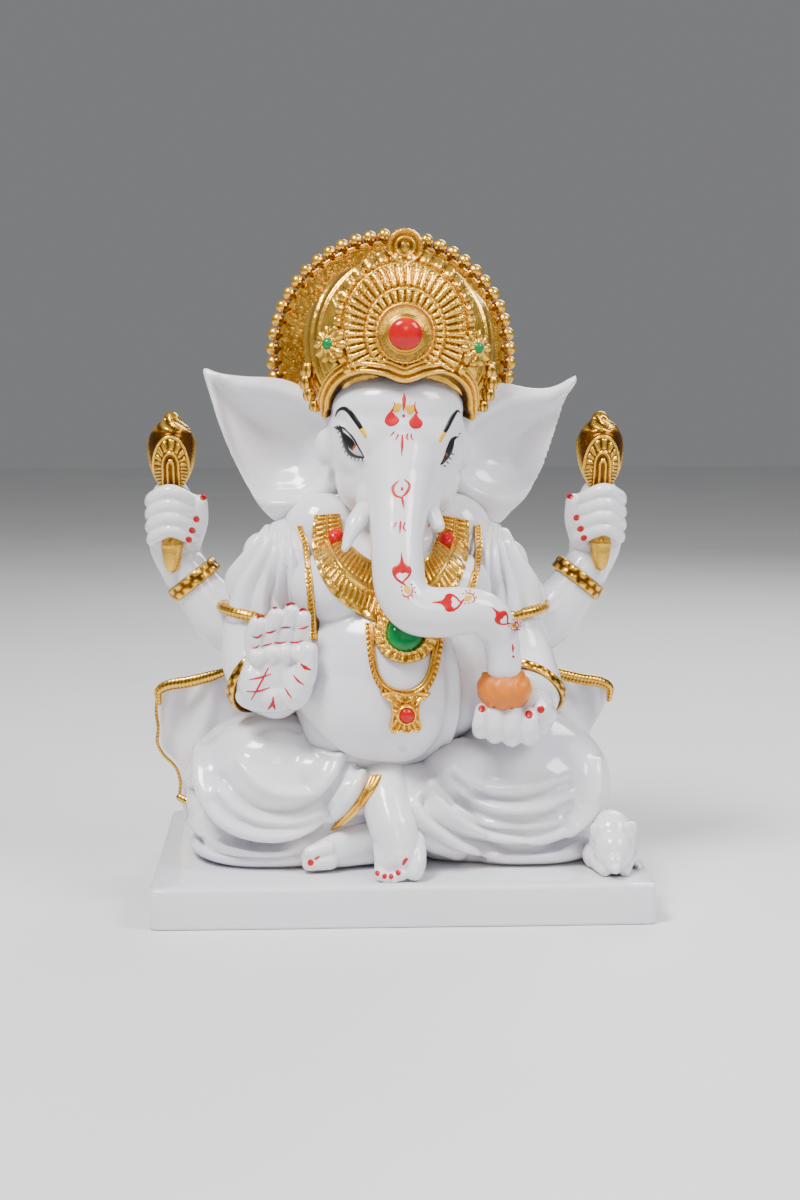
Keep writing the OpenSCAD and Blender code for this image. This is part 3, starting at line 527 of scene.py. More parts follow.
class IdolSizes(bpy.types.PropertyGroup):
    """Sizes and counts of the ornament. Lengths are in metres."""

    fineness: bpy.props.FloatProperty(
        name="Skin fineness", description="Edge of one facet on the large castings", unit="LENGTH",
        default=0.00085, min=0.0005, max=0.003, precision=5)
    fold: bpy.props.FloatProperty(
        name="Fold height", description="Height of the main folds in the cloth over the legs", unit="LENGTH",
        default=0.004, min=0.0, max=0.006, precision=5)
    pleat: bpy.props.FloatProperty(
        name="Pleat height", description="Height of the pleats in the sleeves", unit="LENGTH",
        default=0.0036, min=0.0, max=0.005, precision=5)
    flute: bpy.props.FloatProperty(
        name="Flute pitch", description="Distance between two flutes of the collar", unit="LENGTH",
        default=0.0019, min=0.001, max=0.004, precision=5)
    petals: bpy.props.IntProperty(
        name="Petals", description="Petals of each flower beside the crown's medallion", default=10, min=6, max=18)
    beads: bpy.props.IntProperty(
        name="Halo beads", description="Beads round the halo's rim", default=36, min=24, max=42)
    halo_width: bpy.props.FloatProperty(
        name="Halo diameter", description="Diameter of the halo's plate", unit="LENGTH",
        default=(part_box("halo")[1][0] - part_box("halo")[0][0]), min=0.06, max=0.12, precision=5)


def nodes_for(name):
    """An empty material with a Principled shader, and helpers to add and link nodes."""
    mat = bpy.data.materials.new(name)
    mat.use_nodes = True
    tree = mat.node_tree
    shader = tree.nodes["Principled BSDF"]

    def add(kind, **values):
        node = tree.nodes.new(kind)
        for key, value in values.items():
            if key in node.inputs:
                node.inputs[key].default_value = value
            else:
                setattr(node, key.lower().replace(" ", "_"), value)
        return node

    return mat, shader, add, tree.links.new


def noise(add, link, scale, detail=2.0, rough=0.5):
    """Noise on Object coordinates. scale is in cells to the metre."""
    where = add("ShaderNodeTexCoord")
    node = add("ShaderNodeTexNoise", Scale=scale, Detail=detail, Roughness=rough)
    link(where.outputs["Object"], node.inputs["Vector"])
    return node.outputs["Fac"]


def ramp(add, link, fac, stops):
    """A colour ramp over a value. stops are (place, colour)."""
    node = add("ShaderNodeValToRGB")
    elements = node.color_ramp.elements
    while len(elements) < len(stops):
        elements.new(0.5)
    for element, (place_at, colour) in zip(elements, stops):
        element.position = place_at
        element.color = (*colour, 1.0)
    link(fac, node.inputs["Fac"])
    return node.outputs["Color"]


def bump(add, link, shader, heights):
    """A chain of bumps from (value, strength, distance in metres)."""
    last = None
    for value, strength, distance in heights:
        node = add("ShaderNodeBump", Strength=strength, Distance=distance)
        link(value, node.inputs["Height"])
        if last is not None:
            link(last, node.inputs["Normal"])
        last = node.outputs["Normal"]
    link(last, shader.inputs["Normal"])


def shade(colour, factor):
    """A colour made lighter or darker, kept within 0 to 1."""
    return tuple(min(1.0, max(0.0, c * factor)) for c in colour)


def resin_finish(name, base, rough=0.16):
    """Polished cast resin: a faint warm and cool cloudiness, soft scatter, tiny casting pits, a clear coat."""
    mat, shader, add, link = nodes_for(name)
    cloud = noise(add, link, 38.0, 3.0)
    cool, warm = (base[0] * 0.965, base[1] * 0.975, base[2] * 1.02), (base[0] * 1.02, base[1], base[2] * 0.965)
    link(ramp(add, link, cloud, [(0.35, cool), (0.65, warm)]), shader.inputs["Base Color"])
    shader.inputs["Roughness"].default_value = rough
    shader.inputs["Specular IOR Level"].default_value = 0.5
    shader.inputs["Coat Weight"].default_value = 0.35
    shader.inputs["Coat Roughness"].default_value = 0.06
    shader.inputs["Subsurface Weight"].default_value = 0.12
    shader.inputs["Subsurface Radius"].default_value = (0.004, 0.003, 0.0028)
    shader.inputs["Subsurface Scale"].default_value = 1.0
    swell = noise(add, link, 90.0, 2.0)
    grain = noise(add, link, 900.0, 2.0)
    bump(add, link, shader, [(swell, 0.12, 0.0006), (grain, 0.05, 0.0001)])
    return mat


def gold_finish(name, high, deep, darker_by=0.0):
    """Antique gilding: rubbed pale gold on the relief's high parts, amber and brown glaze in its recesses."""
    mat, shader, add, link = nodes_for(name)
    level = add("ShaderNodeAttribute")
    level.attribute_name = "relief"
    patch = noise(add, link, 120.0, 4.0, 0.6)
    mixed = add("ShaderNodeMath")
    mixed.operation = "MULTIPLY_ADD"
    link(patch, mixed.inputs[0])
    mixed.inputs[1].default_value = 0.55
    shift = add("ShaderNodeMath")
    shift.operation = "ADD"
    link(level.outputs["Fac"], shift.inputs[0])
    shift.inputs[1].default_value = -0.275 - darker_by
    link(shift.outputs[0], mixed.inputs[2])
    mid = tuple(h * 0.62 + d * 0.38 for h, d in zip(high, deep))
    # The first stop, darker than the glaze, is painted shade in the deepest recesses; the last, brighter than the
    # gilding, is painted highlight on the highest parts.
    link(ramp(add, link, mixed.outputs[0], [
        (0.04, shade(deep, 0.4)), (0.24, deep), (0.5, mid), (0.76, high), (1.0, shade(high, 1.15))]),
        shader.inputs["Base Color"])
    shader.inputs["Metallic"].default_value = 0.88
    gloss = add("ShaderNodeMapRange", **{"To Min": 0.16, "To Max": 0.36})
    link(noise(add, link, 300.0, 3.0), gloss.inputs["Value"])
    link(gloss.outputs["Result"], shader.inputs["Roughness"])
    bump(add, link, shader, [(noise(add, link, 700.0, 3.0), 0.35, 0.00025),
        (noise(add, link, 2200.0, 2.0), 0.2, 0.0001)])
    return mat


def enamel_finish(name, colour, rough=0.16, coat=0.15, scale=160.0, spread=0.14):
    """A glossy enamel or a paint: small changes of depth, brush unevenness and a clear coat."""
    mat, shader, add, link = nodes_for(name)
    depth = noise(add, link, scale, 3.0)
    link(ramp(add, link, depth, [(0.3, shade(colour, 1 - spread)), (0.7, shade(colour, 1 + spread))]),
         shader.inputs["Base Color"])
    shader.inputs["Roughness"].default_value = rough
    shader.inputs["Coat Weight"].default_value = coat
    shader.inputs["Coat Roughness"].default_value = 0.05
    bump(add, link, shader, [(noise(add, link, 420.0, 2.0), 0.12, 0.0002)])
    shader.inputs["Specular IOR Level"].default_value = 0.32
    return mat


def sweet_finish(name, orange, yellow):
    """The painted sweet: matt orange with stains of yellow towards its sides and a crumbly skin."""
    mat, shader, add, link = nodes_for(name)
    where = add("ShaderNodeTexCoord")
    split = add("ShaderNodeSeparateXYZ")
    link(where.outputs["Object"], split.inputs["Vector"])
    side = add("ShaderNodeMapRange", **{"From Min": 0.043, "From Max": 0.05})
    link(split.outputs["X"], side.inputs["Value"])
    cloud = add("ShaderNodeMath")
    cloud.operation = "MULTIPLY_ADD"
    link(noise(add, link, 150.0, 3.0), cloud.inputs[0])
    cloud.inputs[1].default_value = 0.7
    link(side.outputs["Result"], cloud.inputs[2])
    link(ramp(add, link, cloud.outputs[0], [(0.3, orange), (0.62, shade(orange, 1.05)), (1.0, yellow)]),
         shader.inputs["Base Color"])
    shader.inputs["Roughness"].default_value = 0.42
    bump(add, link, shader, [(noise(add, link, 260.0, 4.0), 0.35, 0.0006)])
    return mat


def steel_finish(name):
    """Plain drawn steel of the hidden dowels."""
    mat, shader, add, link = nodes_for(name)
    link(ramp(add, link, noise(add, link, 400.0, 3.0), [(0.3, (0.42, 0.43, 0.45)), (0.7, (0.6, 0.61, 0.63))]),
         shader.inputs["Base Color"])
    shader.inputs["Metallic"].default_value = 1.0
    shader.inputs["Roughness"].default_value = 0.35
    return mat


LOOK = {}  # materials by name, made once by the first operator


def finishes(scene):
    """Makes the shared materials from the scene's colours, once."""
    if LOOK:
        return LOOK
    c = scene.idol_finishes
    high, deep = tuple(c.gold_high), tuple(c.gold_recess_glaze_and_shade)
    LOOK.update(
        resin=resin_finish("polished_resin", tuple(c.resin)),
        gold=gold_finish("antique_gold_and_painted_light", high, deep),
        plate=gold_finish("stippled_gold", shade(high, 0.92), shade(deep, 1.5), 0.02),
        edge=gold_finish("gilded_edge", high, shade(deep, 1.25), -0.08),
        red=enamel_finish("red_enamel", tuple(c.red)),
        nail=enamel_finish("nail_red", (0.5, 0.0, 0.006), 0.3, 0.15),
        pink=enamel_finish("forehead_red", (0.56, 0.002, 0.012), 0.35, 0.15),
        green=enamel_finish("green_enamel", tuple(c.green)),
        black=enamel_finish("black_paint", (0.008, 0.008, 0.009), 0.28, 0.3),
        brown=enamel_finish("iris_brown", (0.22, 0.06, 0.018), 0.2, 0.5),
        white=enamel_finish("eye_white", (0.5, 0.49, 0.53), 0.2, 0.5),
        yellow=enamel_finish("yellow_paint", tuple(c.yellow), 0.35, 0.2),
        sweet=sweet_finish("sweet_orange", tuple(c.orange), (0.95, 0.5, 0.06)),
        steel=steel_finish("dowel_steel"),
    )
    return LOOK


# ---- Plinth, cloth over the legs, feet, mouse ----------------------------------------------------


def rounded_block(width, depth, height, squareness=60.0, rows=90):
    """A slab: superellipses of a high power carried up a profile whose edges are rolled over, drawn in at the top."""
    profile = np.array([
        (12, 0), (1.2, 0), (0.5, 0.15), (0.1, 0.6), (0, 1.4), (0.1, height * 0.5), (0, height - 1.6),
        (0.12, height - 0.8), (0.45, height - 0.25), (1.2, height), (6, height + 0.05), (14, height), (30, height)])
    angle = np.linspace(0, 2 * pi, 8 * rows, endpoint=False)
    rings = []
    for inset, z in profile:
        w, d = width / 2 - inset, depth / 2 - inset
        cx, cy = np.cos(angle), np.sin(angle)
        scale = (np.abs(cx / w) ** squareness + np.abs(cy / d) ** squareness) ** (-1 / squareness)
        ripple = 0.12 * np.sin(5 * angle + z) + 0.08 * np.sin(11 * angle)
        rings.append(np.stack([cx * (scale + ripple), cy * (scale + ripple), np.full_like(cx, z)], -1))
    return skin(np.stack(rings))


def crease_distance(points, line, count=70):
    """Distance in the front view from each point to a smooth line of (x, z) points."""
    curve = spline(line, count)
    best = np.full(len(points), 1e9)
    flat = points[:, [0, 2]]
    for start in range(0, count, 10):
        part = curve[start:start + 10]
        d = np.linalg.norm(flat[:, None] - part[None], axis=2).min(1)
        best = np.minimum(best, d)
    return best


def seat_plane(points, surface_y=-35.0):
    """Points as they read on the plane Y = surface_y when looked at from the front, so lines can be laid on them."""
    ray = points - EYE
    share = (surface_y - EYE[1]) / ray[:, 1]
    return EYE + ray * share[:, None]


# Ridges (height share, width) and valleys (negative) of the cloth over the two legs, as lines of (x, z).
RIGHT_FOLDS = [(0.85, 2.6, [(-59, 54), (-53, 47), (-46, 43.5), (-38, 42.8), (-31, 45), (-26, 50), (-23, 56)]),
    (-0.75, 2.4, [(-67, 50), (-62, 43), (-55, 38), (-46, 36), (-37, 37), (-29, 41), (-23, 49), (-21, 55)]),
    (0.55, 1.8, [(-67, 45), (-61, 38.5), (-54, 34.6), (-45, 33), (-37, 34), (-29, 38), (-22, 46), (-19, 54)]),
    (-0.4, 1.5, [(-69, 41), (-63, 35.5), (-54, 32), (-45, 31.2), (-37, 32), (-29, 35.6), (-21, 43), (-17, 52)]),
    (1.1, 2.9, [(-74, 60), (-73.5, 48), (-69, 38), (-62, 31.8), (-53, 28.8), (-44, 28.4), (-36, 30), (-28, 34),
    (-21, 41), (-16, 50)]), (-1.5, 2.2,
    [(-80, 46), (-76, 37), (-69, 29.5), (-60, 25.3), (-50, 23.8), (-42, 24.4), (-35, 27), (-29, 31)]),
    (0.6, 1.6, [(-78, 34), (-73, 28), (-66, 23.6), (-58, 21.6), (-50, 21), (-43, 22), (-37, 24.5)]),
    (-0.7, 1.4, [(-77, 28), (-72, 23.4), (-65, 19.8), (-56, 18.2), (-47, 18.2), (-40, 20)]),
    (-0.45, 1.4, [(-54, 67.5), (-49, 69.3), (-43, 69.6), (-38, 68)]), (0.4, 1.2, [(-31, 60), (-27, 57.6), (-22, 56)]),]
LEFT_FOLDS = [(0.7, 2.0, [(20, 52), (25, 47.6), (32, 45), (40, 44.4), (48, 45.2), (56, 47.4)]),
    (-0.7, 2.1, [(20, 49), (26, 44), (34, 41.2), (44, 40.8), (54, 43), (63, 46.5)]),
    (0.6, 1.6, [(24, 43.4), (30, 39.8), (38, 37.2), (46, 36.6), (54, 38), (61, 41.4)]),
    (-0.6, 1.7, [(15.5, 47), (21, 40.6), (28, 36), (37, 33.6), (46, 33.2), (56, 34.6), (64, 38.6)]),
    (0.45, 1.4, [(13.5, 46), (18, 40), (24, 35), (32, 31.8), (41, 30.6), (50, 30.6), (59, 32.4)]),
    (-0.4, 1.2, [(12.6, 44), (17, 38), (23, 33), (31, 29.8), (41, 28.4), (52, 28.8), (61, 31.4)]),
    (1.0, 2.3, [(11.4, 46), (13, 40.4), (17, 35.4), (22, 31), (29, 27.6), (37, 25.8), (45, 25.4), (53, 26.4), (60, 29),
    (66, 33), (70.6, 39), (72.6, 46), (72, 54)]),
    (-1.2, 1.9, [(9.5, 41), (13, 35), (18, 30.2), (24, 26), (31, 23.4), (40, 21.6), (50, 21.6), (58, 23.4), (65, 27),
    (72, 33)]), (0.7, 1.7, [(6, 38), (9, 32.6), (14, 28), (20, 24.2), (27, 21.4), (36, 20)]),
    (-0.5, 1.4, [(8, 27), (14, 22.6), (21, 19.6), (30, 17.8)]), (0.45, 1.5, [(62, 29), (68, 34), (74, 38.6)]),]


def cloth_folds(points, normals, height):
    """Sum of bell-shaped ridges and valleys about the fold lines, faded where the cloth faces back or up."""
    flat = seat_plane(points)
    front = step(-0.25, 0.35, -normals[:, 1]) * step(0.98, 0.75, normals[:, 2])
    lift = np.zeros(len(points))
    for folds, side in ((RIGHT_FOLDS, flat[:, 0] < -10), (LEFT_FOLDS, flat[:, 0] > 2)):
        pick = np.flatnonzero(side & (front > 0.001))
        for share, width, line in folds:
            lift[pick] += share * hill(crease_distance(flat[pick], line), width)
    back = step(0.1, 0.6, normals[:, 1]) * step(60, 30, points[:, 2])
    wave = np.sin(points[:, 0] * 0.38 + 0.12 * points[:, 2]) * 0.45
    return height * (lift * front) + back * wave * height * 0.5


def build_plinth(scene):
    low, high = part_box("plinth")
    size = [(high[i] - low[i]) / MM for i in range(3)]
    piece("plinth_slab", [rounded_block(*size)], LOOK["resin"], "white_resin", "plinth")


def leg_shells(side):
    """One folded leg: knee, thigh and shin as overlapping rounds, on the side given by its sign."""
    s = side
    return [
        ellipsoid((s * 47.6, -2, 39.8), (35.9, 40, 29.2), square=2.15, rows=34, sides=72),
        ellipsoid((s * 26.2, 3, 33), (28, 37, 24)),
        tube([(s * 64.6, -12, 26), (s * 43.6, -23, 26), (s * 16, -21, 26)], [14, 15, 12], rows=30),
        ellipsoid((s * 48, -4, 20), (33, 36, 9), square=2.4),
    ]


def build_legs(scene):
    sizes = scene.idol_sizes
    shells = [ellipsoid((0, 4, 32), (36, 35, 27)), *leg_shells(-1), *leg_shells(1),
        ellipsoid((6, -12, 38), (24, 23, 15.5)), ellipsoid((-8, -14, 42), (15, 17, 12)),
        ellipsoid((-2, -21, 44), (24, 18, 10)), ellipsoid((-31, -23, 49.5), (17, 17, 13)),
        ellipsoid((-19, -25, 43), (13, 16, 11)), ellipsoid((-48, -15, 50), (27, 22, 20.5)),
        ellipsoid((25, -22, 49), (17, 17, 12.5)), ellipsoid((14, -25, 43), (12, 14, 10)),
        tube([(22, -30, 27), (9, -36, 33), (2, -31, 42)], [11, 10, 9], rows=30)]
    for points, _, _, _ in shells:
        points[:, 2] = np.maximum(points[:, 2], SEAT_CUT)
    resin_cast(["lap", "right_leg", "left_leg"], "leg_cloth", shells, sizes.fineness / MM, 10, lambda p,
        n: cloth_folds(p, n, sizes.fold / MM), after=2)


def build_feet(scene):
    toes = [(-8.8, 17.2, 2.3), (-6.2, 16.2, 2.4), (-3.6, 16.2, 2.5), (-1.0, 17.4, 2.7)]
    hanging = [tube([(-6.4, -26, 47), (-5.8, -36, 41), (-4.0, -42.8, 34), (-2.0, -47.4, 28), (-1.4, -50, 23.6)],
        [10.4, 10.6, 9.8, 9.6, 7.4], rows=36, ref=(1, 0, 0), flat=0.92),
        tube([(-4.5, -46, 26), (-5.4, -50, 21)], [6.6, 5.4], ref=(1, 0, 0)),
        tube([(3.2, -46, 27), (3.6, -50.5, 22.4)], [5.4, 4.6], ref=(1, 0, 0)),
        tube([(4.0, -48, 25.5), (4.4, -52.6, 21.4), (3.8, -54.8, 18.6)], [4.6, 4.1, 3.4], ref=(1, 0, 0))]
    hanging += [tube([(x * 0.86, -49, z + 5), (x, -53.4, z + 1.2), (x, -55.4, z + 0.3)], [r * 0.92, r, r * 0.9],
        ref=(1, 0, 0), rows=14) for x, z, r in toes]
    resin_cast(["right_foot"], "right_foot_skin", hanging, 0.5, 5)
    lying = [tube([(-2, -27, 24), (-15, -33, 23.5), (-26, -37, 22), (-33, -40, 20.6)], [9, 8.2, 7, 4.6], rows=36,
        flat=0.85), tube([(-27, -41, 19.6), (-34.4, -42, 18.8)], [3.6, 2.9]),
        tube([(-28, -41, 24), (-34, -42.2, 22.6)], [3.4, 2.8])]
    resin_cast(["left_foot"], "left_foot_skin", lying, 0.5, 5)


def build_mouse(scene):
    shells = [ellipsoid((78.5, -39, 26.2), (8.6, 10, 11), square=2.1), ellipsoid((78, -46.5, 23.4), (7.2, 7.4, 7.8)),
        ellipsoid((77.6, -52.2, 20.4), (4.2, 4.6, 4.2)), ellipsoid((77.4, -56.2, 19), (2.0, 2.2, 1.9)),
        ellipsoid((84.6, -45, 30.4), (2.4, 1.5, 4.2), tilt=14),
        ellipsoid((71.8, -45, 29.8), (2.4, 1.5, 4.0), tilt=-14), tube([(83, -44, 18.6), (81.6, -51, 17)], [3.4, 2.2]),
        tube([(73, -44, 18.6), (74.4, -51, 17)], [3.4, 2.2]), ellipsoid((85, -37, 19.6), (4.2, 7, 5)),
        ellipsoid((72, -37, 19.6), (4.2, 7, 5)),
        tube([(84, -30, 17), (88, -36, 16.6), (88.4, -44, 16.4)], [1.5, 1.3, 0.9])]
    for points, _, _, _ in shells:
        points[:, 2] = np.maximum(points[:, 2], MOUSE_CUT)

    def carve(p, n):
        ear = hill(np.linalg.norm(p - np.array([84.2, -47, 30.4]), axis=1), 2.0)
        return -0.7 * ear * step(0, 0.5, -n[:, 1])

    resin_cast(["mouse"], "mouse_skin", shells, 0.5, 5, carve)


# ---- Torso, arms, hands --------------------------------------------------------------------------

BELLY_RIM = [(-43, 76), (-37, 69), (-31, 63), (-25, 58), (-18, 54.6), (-9, 53), (0, 52.6), (6, 54), (11, 57.2),
    (15.6, 62.4), (18.6, 69), (20, 78), (20, 88), (18.4, 96), (16, 104)]


def torso_relief(points, normals):
    """The cloth's rolled rim under and beside the belly, a hollow outside it, the navel, and the breast fold."""
    flat = seat_plane(points, -44.0)
    front = step(0.05, 0.4, -normals[:, 1])
    rim = crease_distance(flat, BELLY_RIM, 120)
    middle = np.array([-9.0, 84.0])
    reach = np.linalg.norm((flat[:, [0, 2]] - middle) / [29.5, 31.5], axis=1)
    outside = step(1.0, 1.1, reach) * step(106, 96, flat[:, 2])
    lift = 1.9 * hill(rim, 1.3) - 1.0 * hill(rim - 2.8, 1.3) - 0.9 * outside * hill(rim, 7)
    navel = np.linalg.norm((flat[:, [0, 2]] - [0.4, 62.0]) / [1.5, 1.25], axis=1)
    lift += 0.35 * hill(navel - 1.5, 0.7) - 1.7 * hill(navel, 1.0)
    return lift * front


def build_torso(scene):
    sizes = scene.idol_sizes
    shells = [
        ellipsoid((MIDDLE, -7, 87), (42, 38, 36), square=2.1, rows=40, sides=80),
        ellipsoid((MIDDLE, 2, 114), (46, 28, 30)),
        tube([(-38.5, 2, 120), (31.5, 2, 120)], [16, 16], ref=(0, 1, 0)),
        tube([(-1.5, 2, 134), (0, -2, 141)], [20, 16], ref=(1, 0, 0)),
        ellipsoid((-24, -21, 119), (17.5, 16, 14.5)), ellipsoid((17, -21, 119), (17.5, 16, 14.5)),
        ellipsoid((-8, -17, 77.5), (32, 29, 29.5), square=2.3),
        ellipsoid((-28.5, 0, 137), (16, 14, 17)), ellipsoid((21, 0, 137), (15.5, 14, 16.5)),
        tube([(-31, 4, 136.5), (-4, 6, 140), (23.5, 4, 136.5)], [14, 16, 14], ref=(0, 1, 0)),
    ]
    resin_cast(["torso"], "torso_skin", shells, sizes.fineness / MM, 9, torso_relief, after=1)


def build_arms(scene):
    sizes = scene.idol_sizes
    voxel = sizes.fineness / MM
    right = [tube([(-48.5, 3, 119), (-54.6, -2, 102), (-55.6, -8.5, 89.2), (-51, -18, 82), (-46.4, -28, 80.4)],
        [12, 12.4, 12.2, 11.3, 9.8], rows=50)]
    left = [tube([(41, 3, 119), (44.4, -2, 102), (48.6, -9, 87), (49.6, -21, 79.4), (46.6, -30, 77)],
        [12, 12, 12, 12.2, 10.8], rows=50)]
    resin_cast(["right_arm"], "right_arm_skin", right, voxel, 4)
    resin_cast(["left_arm"], "left_arm_skin", left, voxel, 4)
    for side, tag in ((-1, "right"), (1, "left")):
        at = mirrored(side)
        arm = [tube([at(38, 13, 112), at(52, 15, 101), at(63, 15, 103), at(72, 14.6, 112.6), at(78, 15.6, 122)],
            [13, 14.4, 13.0, 10.4, 8.8], rows=54)]
        resin_cast([f"rear_{tag}_arm"], f"rear_{tag}_arm_skin", arm, voxel, 4)


def build_hands(scene):
    y = -37.0
    palm = [ellipsoid((-47.2, y + 2.5, 89.5), (11.6, 6.6, 12.5), square=2.6),
        ellipsoid((-48.5, y + 2, 80.5), (13, 7, 6.4)), ellipsoid((-54.6, y - 0.4, 85), (5.4, 5.6, 8.6), tilt=-6),
        ellipsoid((-38.6, y - 2.2, 84.6), (6, 5.6, 9), tilt=14), tube([(-52, y + 6, 84), (-54, y + 12, 82)], [9, 8.4]),
        *[ellipsoid((x, y - 2.4, z), (3.1, 3.3, 3.4)) for x,
        z in ((-53.4, 96), (-48.2, 97), (-43, 97.2), (-37.8, 96.8))],]
    fingers = [((-54, 96), (-54.6, 103), (-53, 108.2), 3.45), ((-48.6, 97), (-48.5, 105.5), (-46.2, 111.2), 3.45),
        ((-43.2, 97), (-42.4, 106.5), (-40.4, 112.6), 3.5), ((-37.8, 97), (-36.8, 105), (-36.2, 110.4), 3.5)]
    palm += [tube([(a[0], y + 0.6, a[1]), (b[0], y - 1.2, b[1]), (c[0], y - 2.8, c[1])],
        [r * 1.04, r * 0.96, r * 0.86], rows=24) for a, b, c, r in fingers]
    palm += [tube([(-40, y - 3, 82), (-35.6, y - 4.4, 89.5), (-34, y - 5, 98.4)], [5.2, 4.3, 3.2], rows=26)]

    def joints(p, n):
        flat = seat_plane(p, -38.0)
        lift = np.zeros(len(p))
        for line in ([(-55, 103), (-50, 104), (-46, 105.6), (-40, 106.4), (-34, 107)],
                [(-55, 98.8), (-50, 99.8), (-46, 100.6), (-41, 101), (-36, 101.4)],
                [(-43, 82), (-45, 87), (-42, 92.4), (-36, 93.6)]):
            lift -= 0.45 * hill(crease_distance(flat, line, 40), 0.7)
        return lift * step(0.1, 0.5, -n[:, 1])

    resin_cast(["right_palm"], "right_palm_skin", palm, 0.45, 5, joints, after=1)

    y = -46.0
    hand = [ellipsoid((41, y + 9, 72), (13.5, 9.5, 9)), ellipsoid((49, y + 8, 74), (8, 9, 9.4)),
            tube([(47, y + 12, 76), (49, y + 18, 79)], [9, 9])]
    for x, top, low, r in ((28.4, 77.2, 70, 3.1), (33.6, 78.6, 68.4, 3.35), (39.8, 78.8, 67.6, 3.7),
            (46.2, 75, 67.8, 3.6)):
        hand.append(tube([(x + 3, y + 10, low + 1), (x + 0.6, y + 2, low - 1.2), (x - 0.2, y - 3.4, low + 1.4),
            (x, y - 4.2, (low + top) / 2 + 1), (x + 0.3, y - 2.6, top)], [r, r * 1.05, r * 1.06, r, r * 0.82], rows=34,
            ref=(1, 0, 0)))
    hand.append(tube([(53, y + 8, 73), (52.6, y + 1, 74.6), (50.6, y - 2.4, 77.2)], [4.6, 4, 3.2], ref=(1, 0, 0)))
    resin_cast(["left_hand"], "left_hand_skin", hand, 0.45, 4)

    sweet = [ellipsoid((37.2, -45.5, 84), (10.2, 10, 8.2), square=2.2, rows=34, sides=64),
        ellipsoid((29.6, -47, 89.6), (1.3, 1.4, 1.6)), ellipsoid((38, -46, 90), (7, 6, 2.2))]
    obj = cast_skin("sweet", sweet, 0.5, 4, lambda p, n: 0.22 * np.sin(p[:, 0] * 1.1 + 2 * np.sin(p[:, 2] * 0.6)))
    finish_piece(obj, LOOK["sweet"], "orange_paint", "laddu")


def build_fists(scene):
    for side, tag in ((-1, "right"), (1, "left")):
        at = mirrored(side)
        shells = [tube([at(79.5, 18, 121), at(82.6, 18.4, 131), at(84, 17.4, 142), at(84, 16.4, 150)],
            [8.6, 10.2, 10.4, 8.0], flat=0.8, rows=36, sides=36)]
        for i in range(4):
            z = 153.6 - 4.9 * i
            out = 1.0 if i < 3 else 0.86
            shells.append(tube([at(91.5, 12.5, z - 4.4), at(89.6, 6.4, z - 2.6), at(83.6, 2.2, z),
                at(77.6, 5.4, z - 2.6), at(74.6, 9.6, z - 4.0)],
                [2.9 * out, 3.15 * out, 3.1 * out, 3.0 * out, 2.5 * out], rows=40))
        shells.append(tube([at(77, 14, 134), at(73.6, 10.6, 142), at(72.6, 7.6, 149)], [5, 4.2, 3.2], rows=24))
        resin_cast([f"rear_{tag}_fist"], f"rear_{tag}_fist_skin", shells, 0.5, 3)


# ---- Head, ears, trunk and tusks -----------------------------------------------------------------

# Each row of an ear: distance out from the line 2.8 mm right of the middle, top and bottom.
RIGHT_EAR = [(20, 187, 153), (27, 191, 148), (34, 194.4, 143.5), (41, 196.8, 140.4), (48, 197.6, 145.6),
    (54, 197.8, 154.6), (60, 198.2, 166), (65, 199, 178.6), (68.6, 200.4, 190), (71.2, 201.4, 198.6)]
LEFT_EAR = [(20, 186, 153), (27, 189.6, 148), (34, 193.4, 144), (41, 195.4, 140.4), (48, 194.6, 146.6),
    (54, 193.2, 153.6), (60, 193.2, 164.4), (65, 194.6, 179.6), (69, 196.8, 190), (72.4, 198.4, 195.8)]
RIGHT_HOLLOW = [(-70, 195.6), (-62, 191.8), (-55, 191), (-47, 189.8), (-40, 187.6), (-33, 183.6), (-28, 178),
    (-26.5, 170), (-27, 162), (-30, 156.8), (-36, 153), (-44, 152), (-50.6, 152.6), (-57, 158.2), (-61.4, 166.3),
    (-64.6, 175), (-67.4, 184.5)]
LEFT_HOLLOW = [(68, 192), (59, 187.6), (50, 186.4), (42, 185), (34, 181), (28, 176), (25.5, 169), (26, 162), (30, 157),
    (37, 154), (45, 153.6), (52, 156.6), (56.6, 164.4), (60.6, 175.6), (65, 186)]


def inside_depth(flat, outline):
    """Distance from each (x, z) point to a closed smooth outline, positive inside it and negative outside it."""
    ring = closed_spline(outline, 8 * len(outline))
    after = np.roll(ring, -1, 0)
    best, odd = np.full(len(flat), 1e9), np.zeros(len(flat), bool)
    for a, b in zip(ring, after):
        edge = b - a
        share = np.clip((flat - a) @ edge / (edge @ edge), 0, 1)
        best = np.minimum(best, np.linalg.norm(flat - a - share[:, None] * edge, axis=1))
        crossed = ((a[1] > flat[:, 1]) != (b[1] > flat[:, 1])) & (
            flat[:, 0] < a[0] + edge[0] * (flat[:, 1] - a[1]) / (edge[1] if abs(edge[1]) > 1e-9 else 1e-9))
        odd ^= crossed
    return np.where(odd, best, -best)


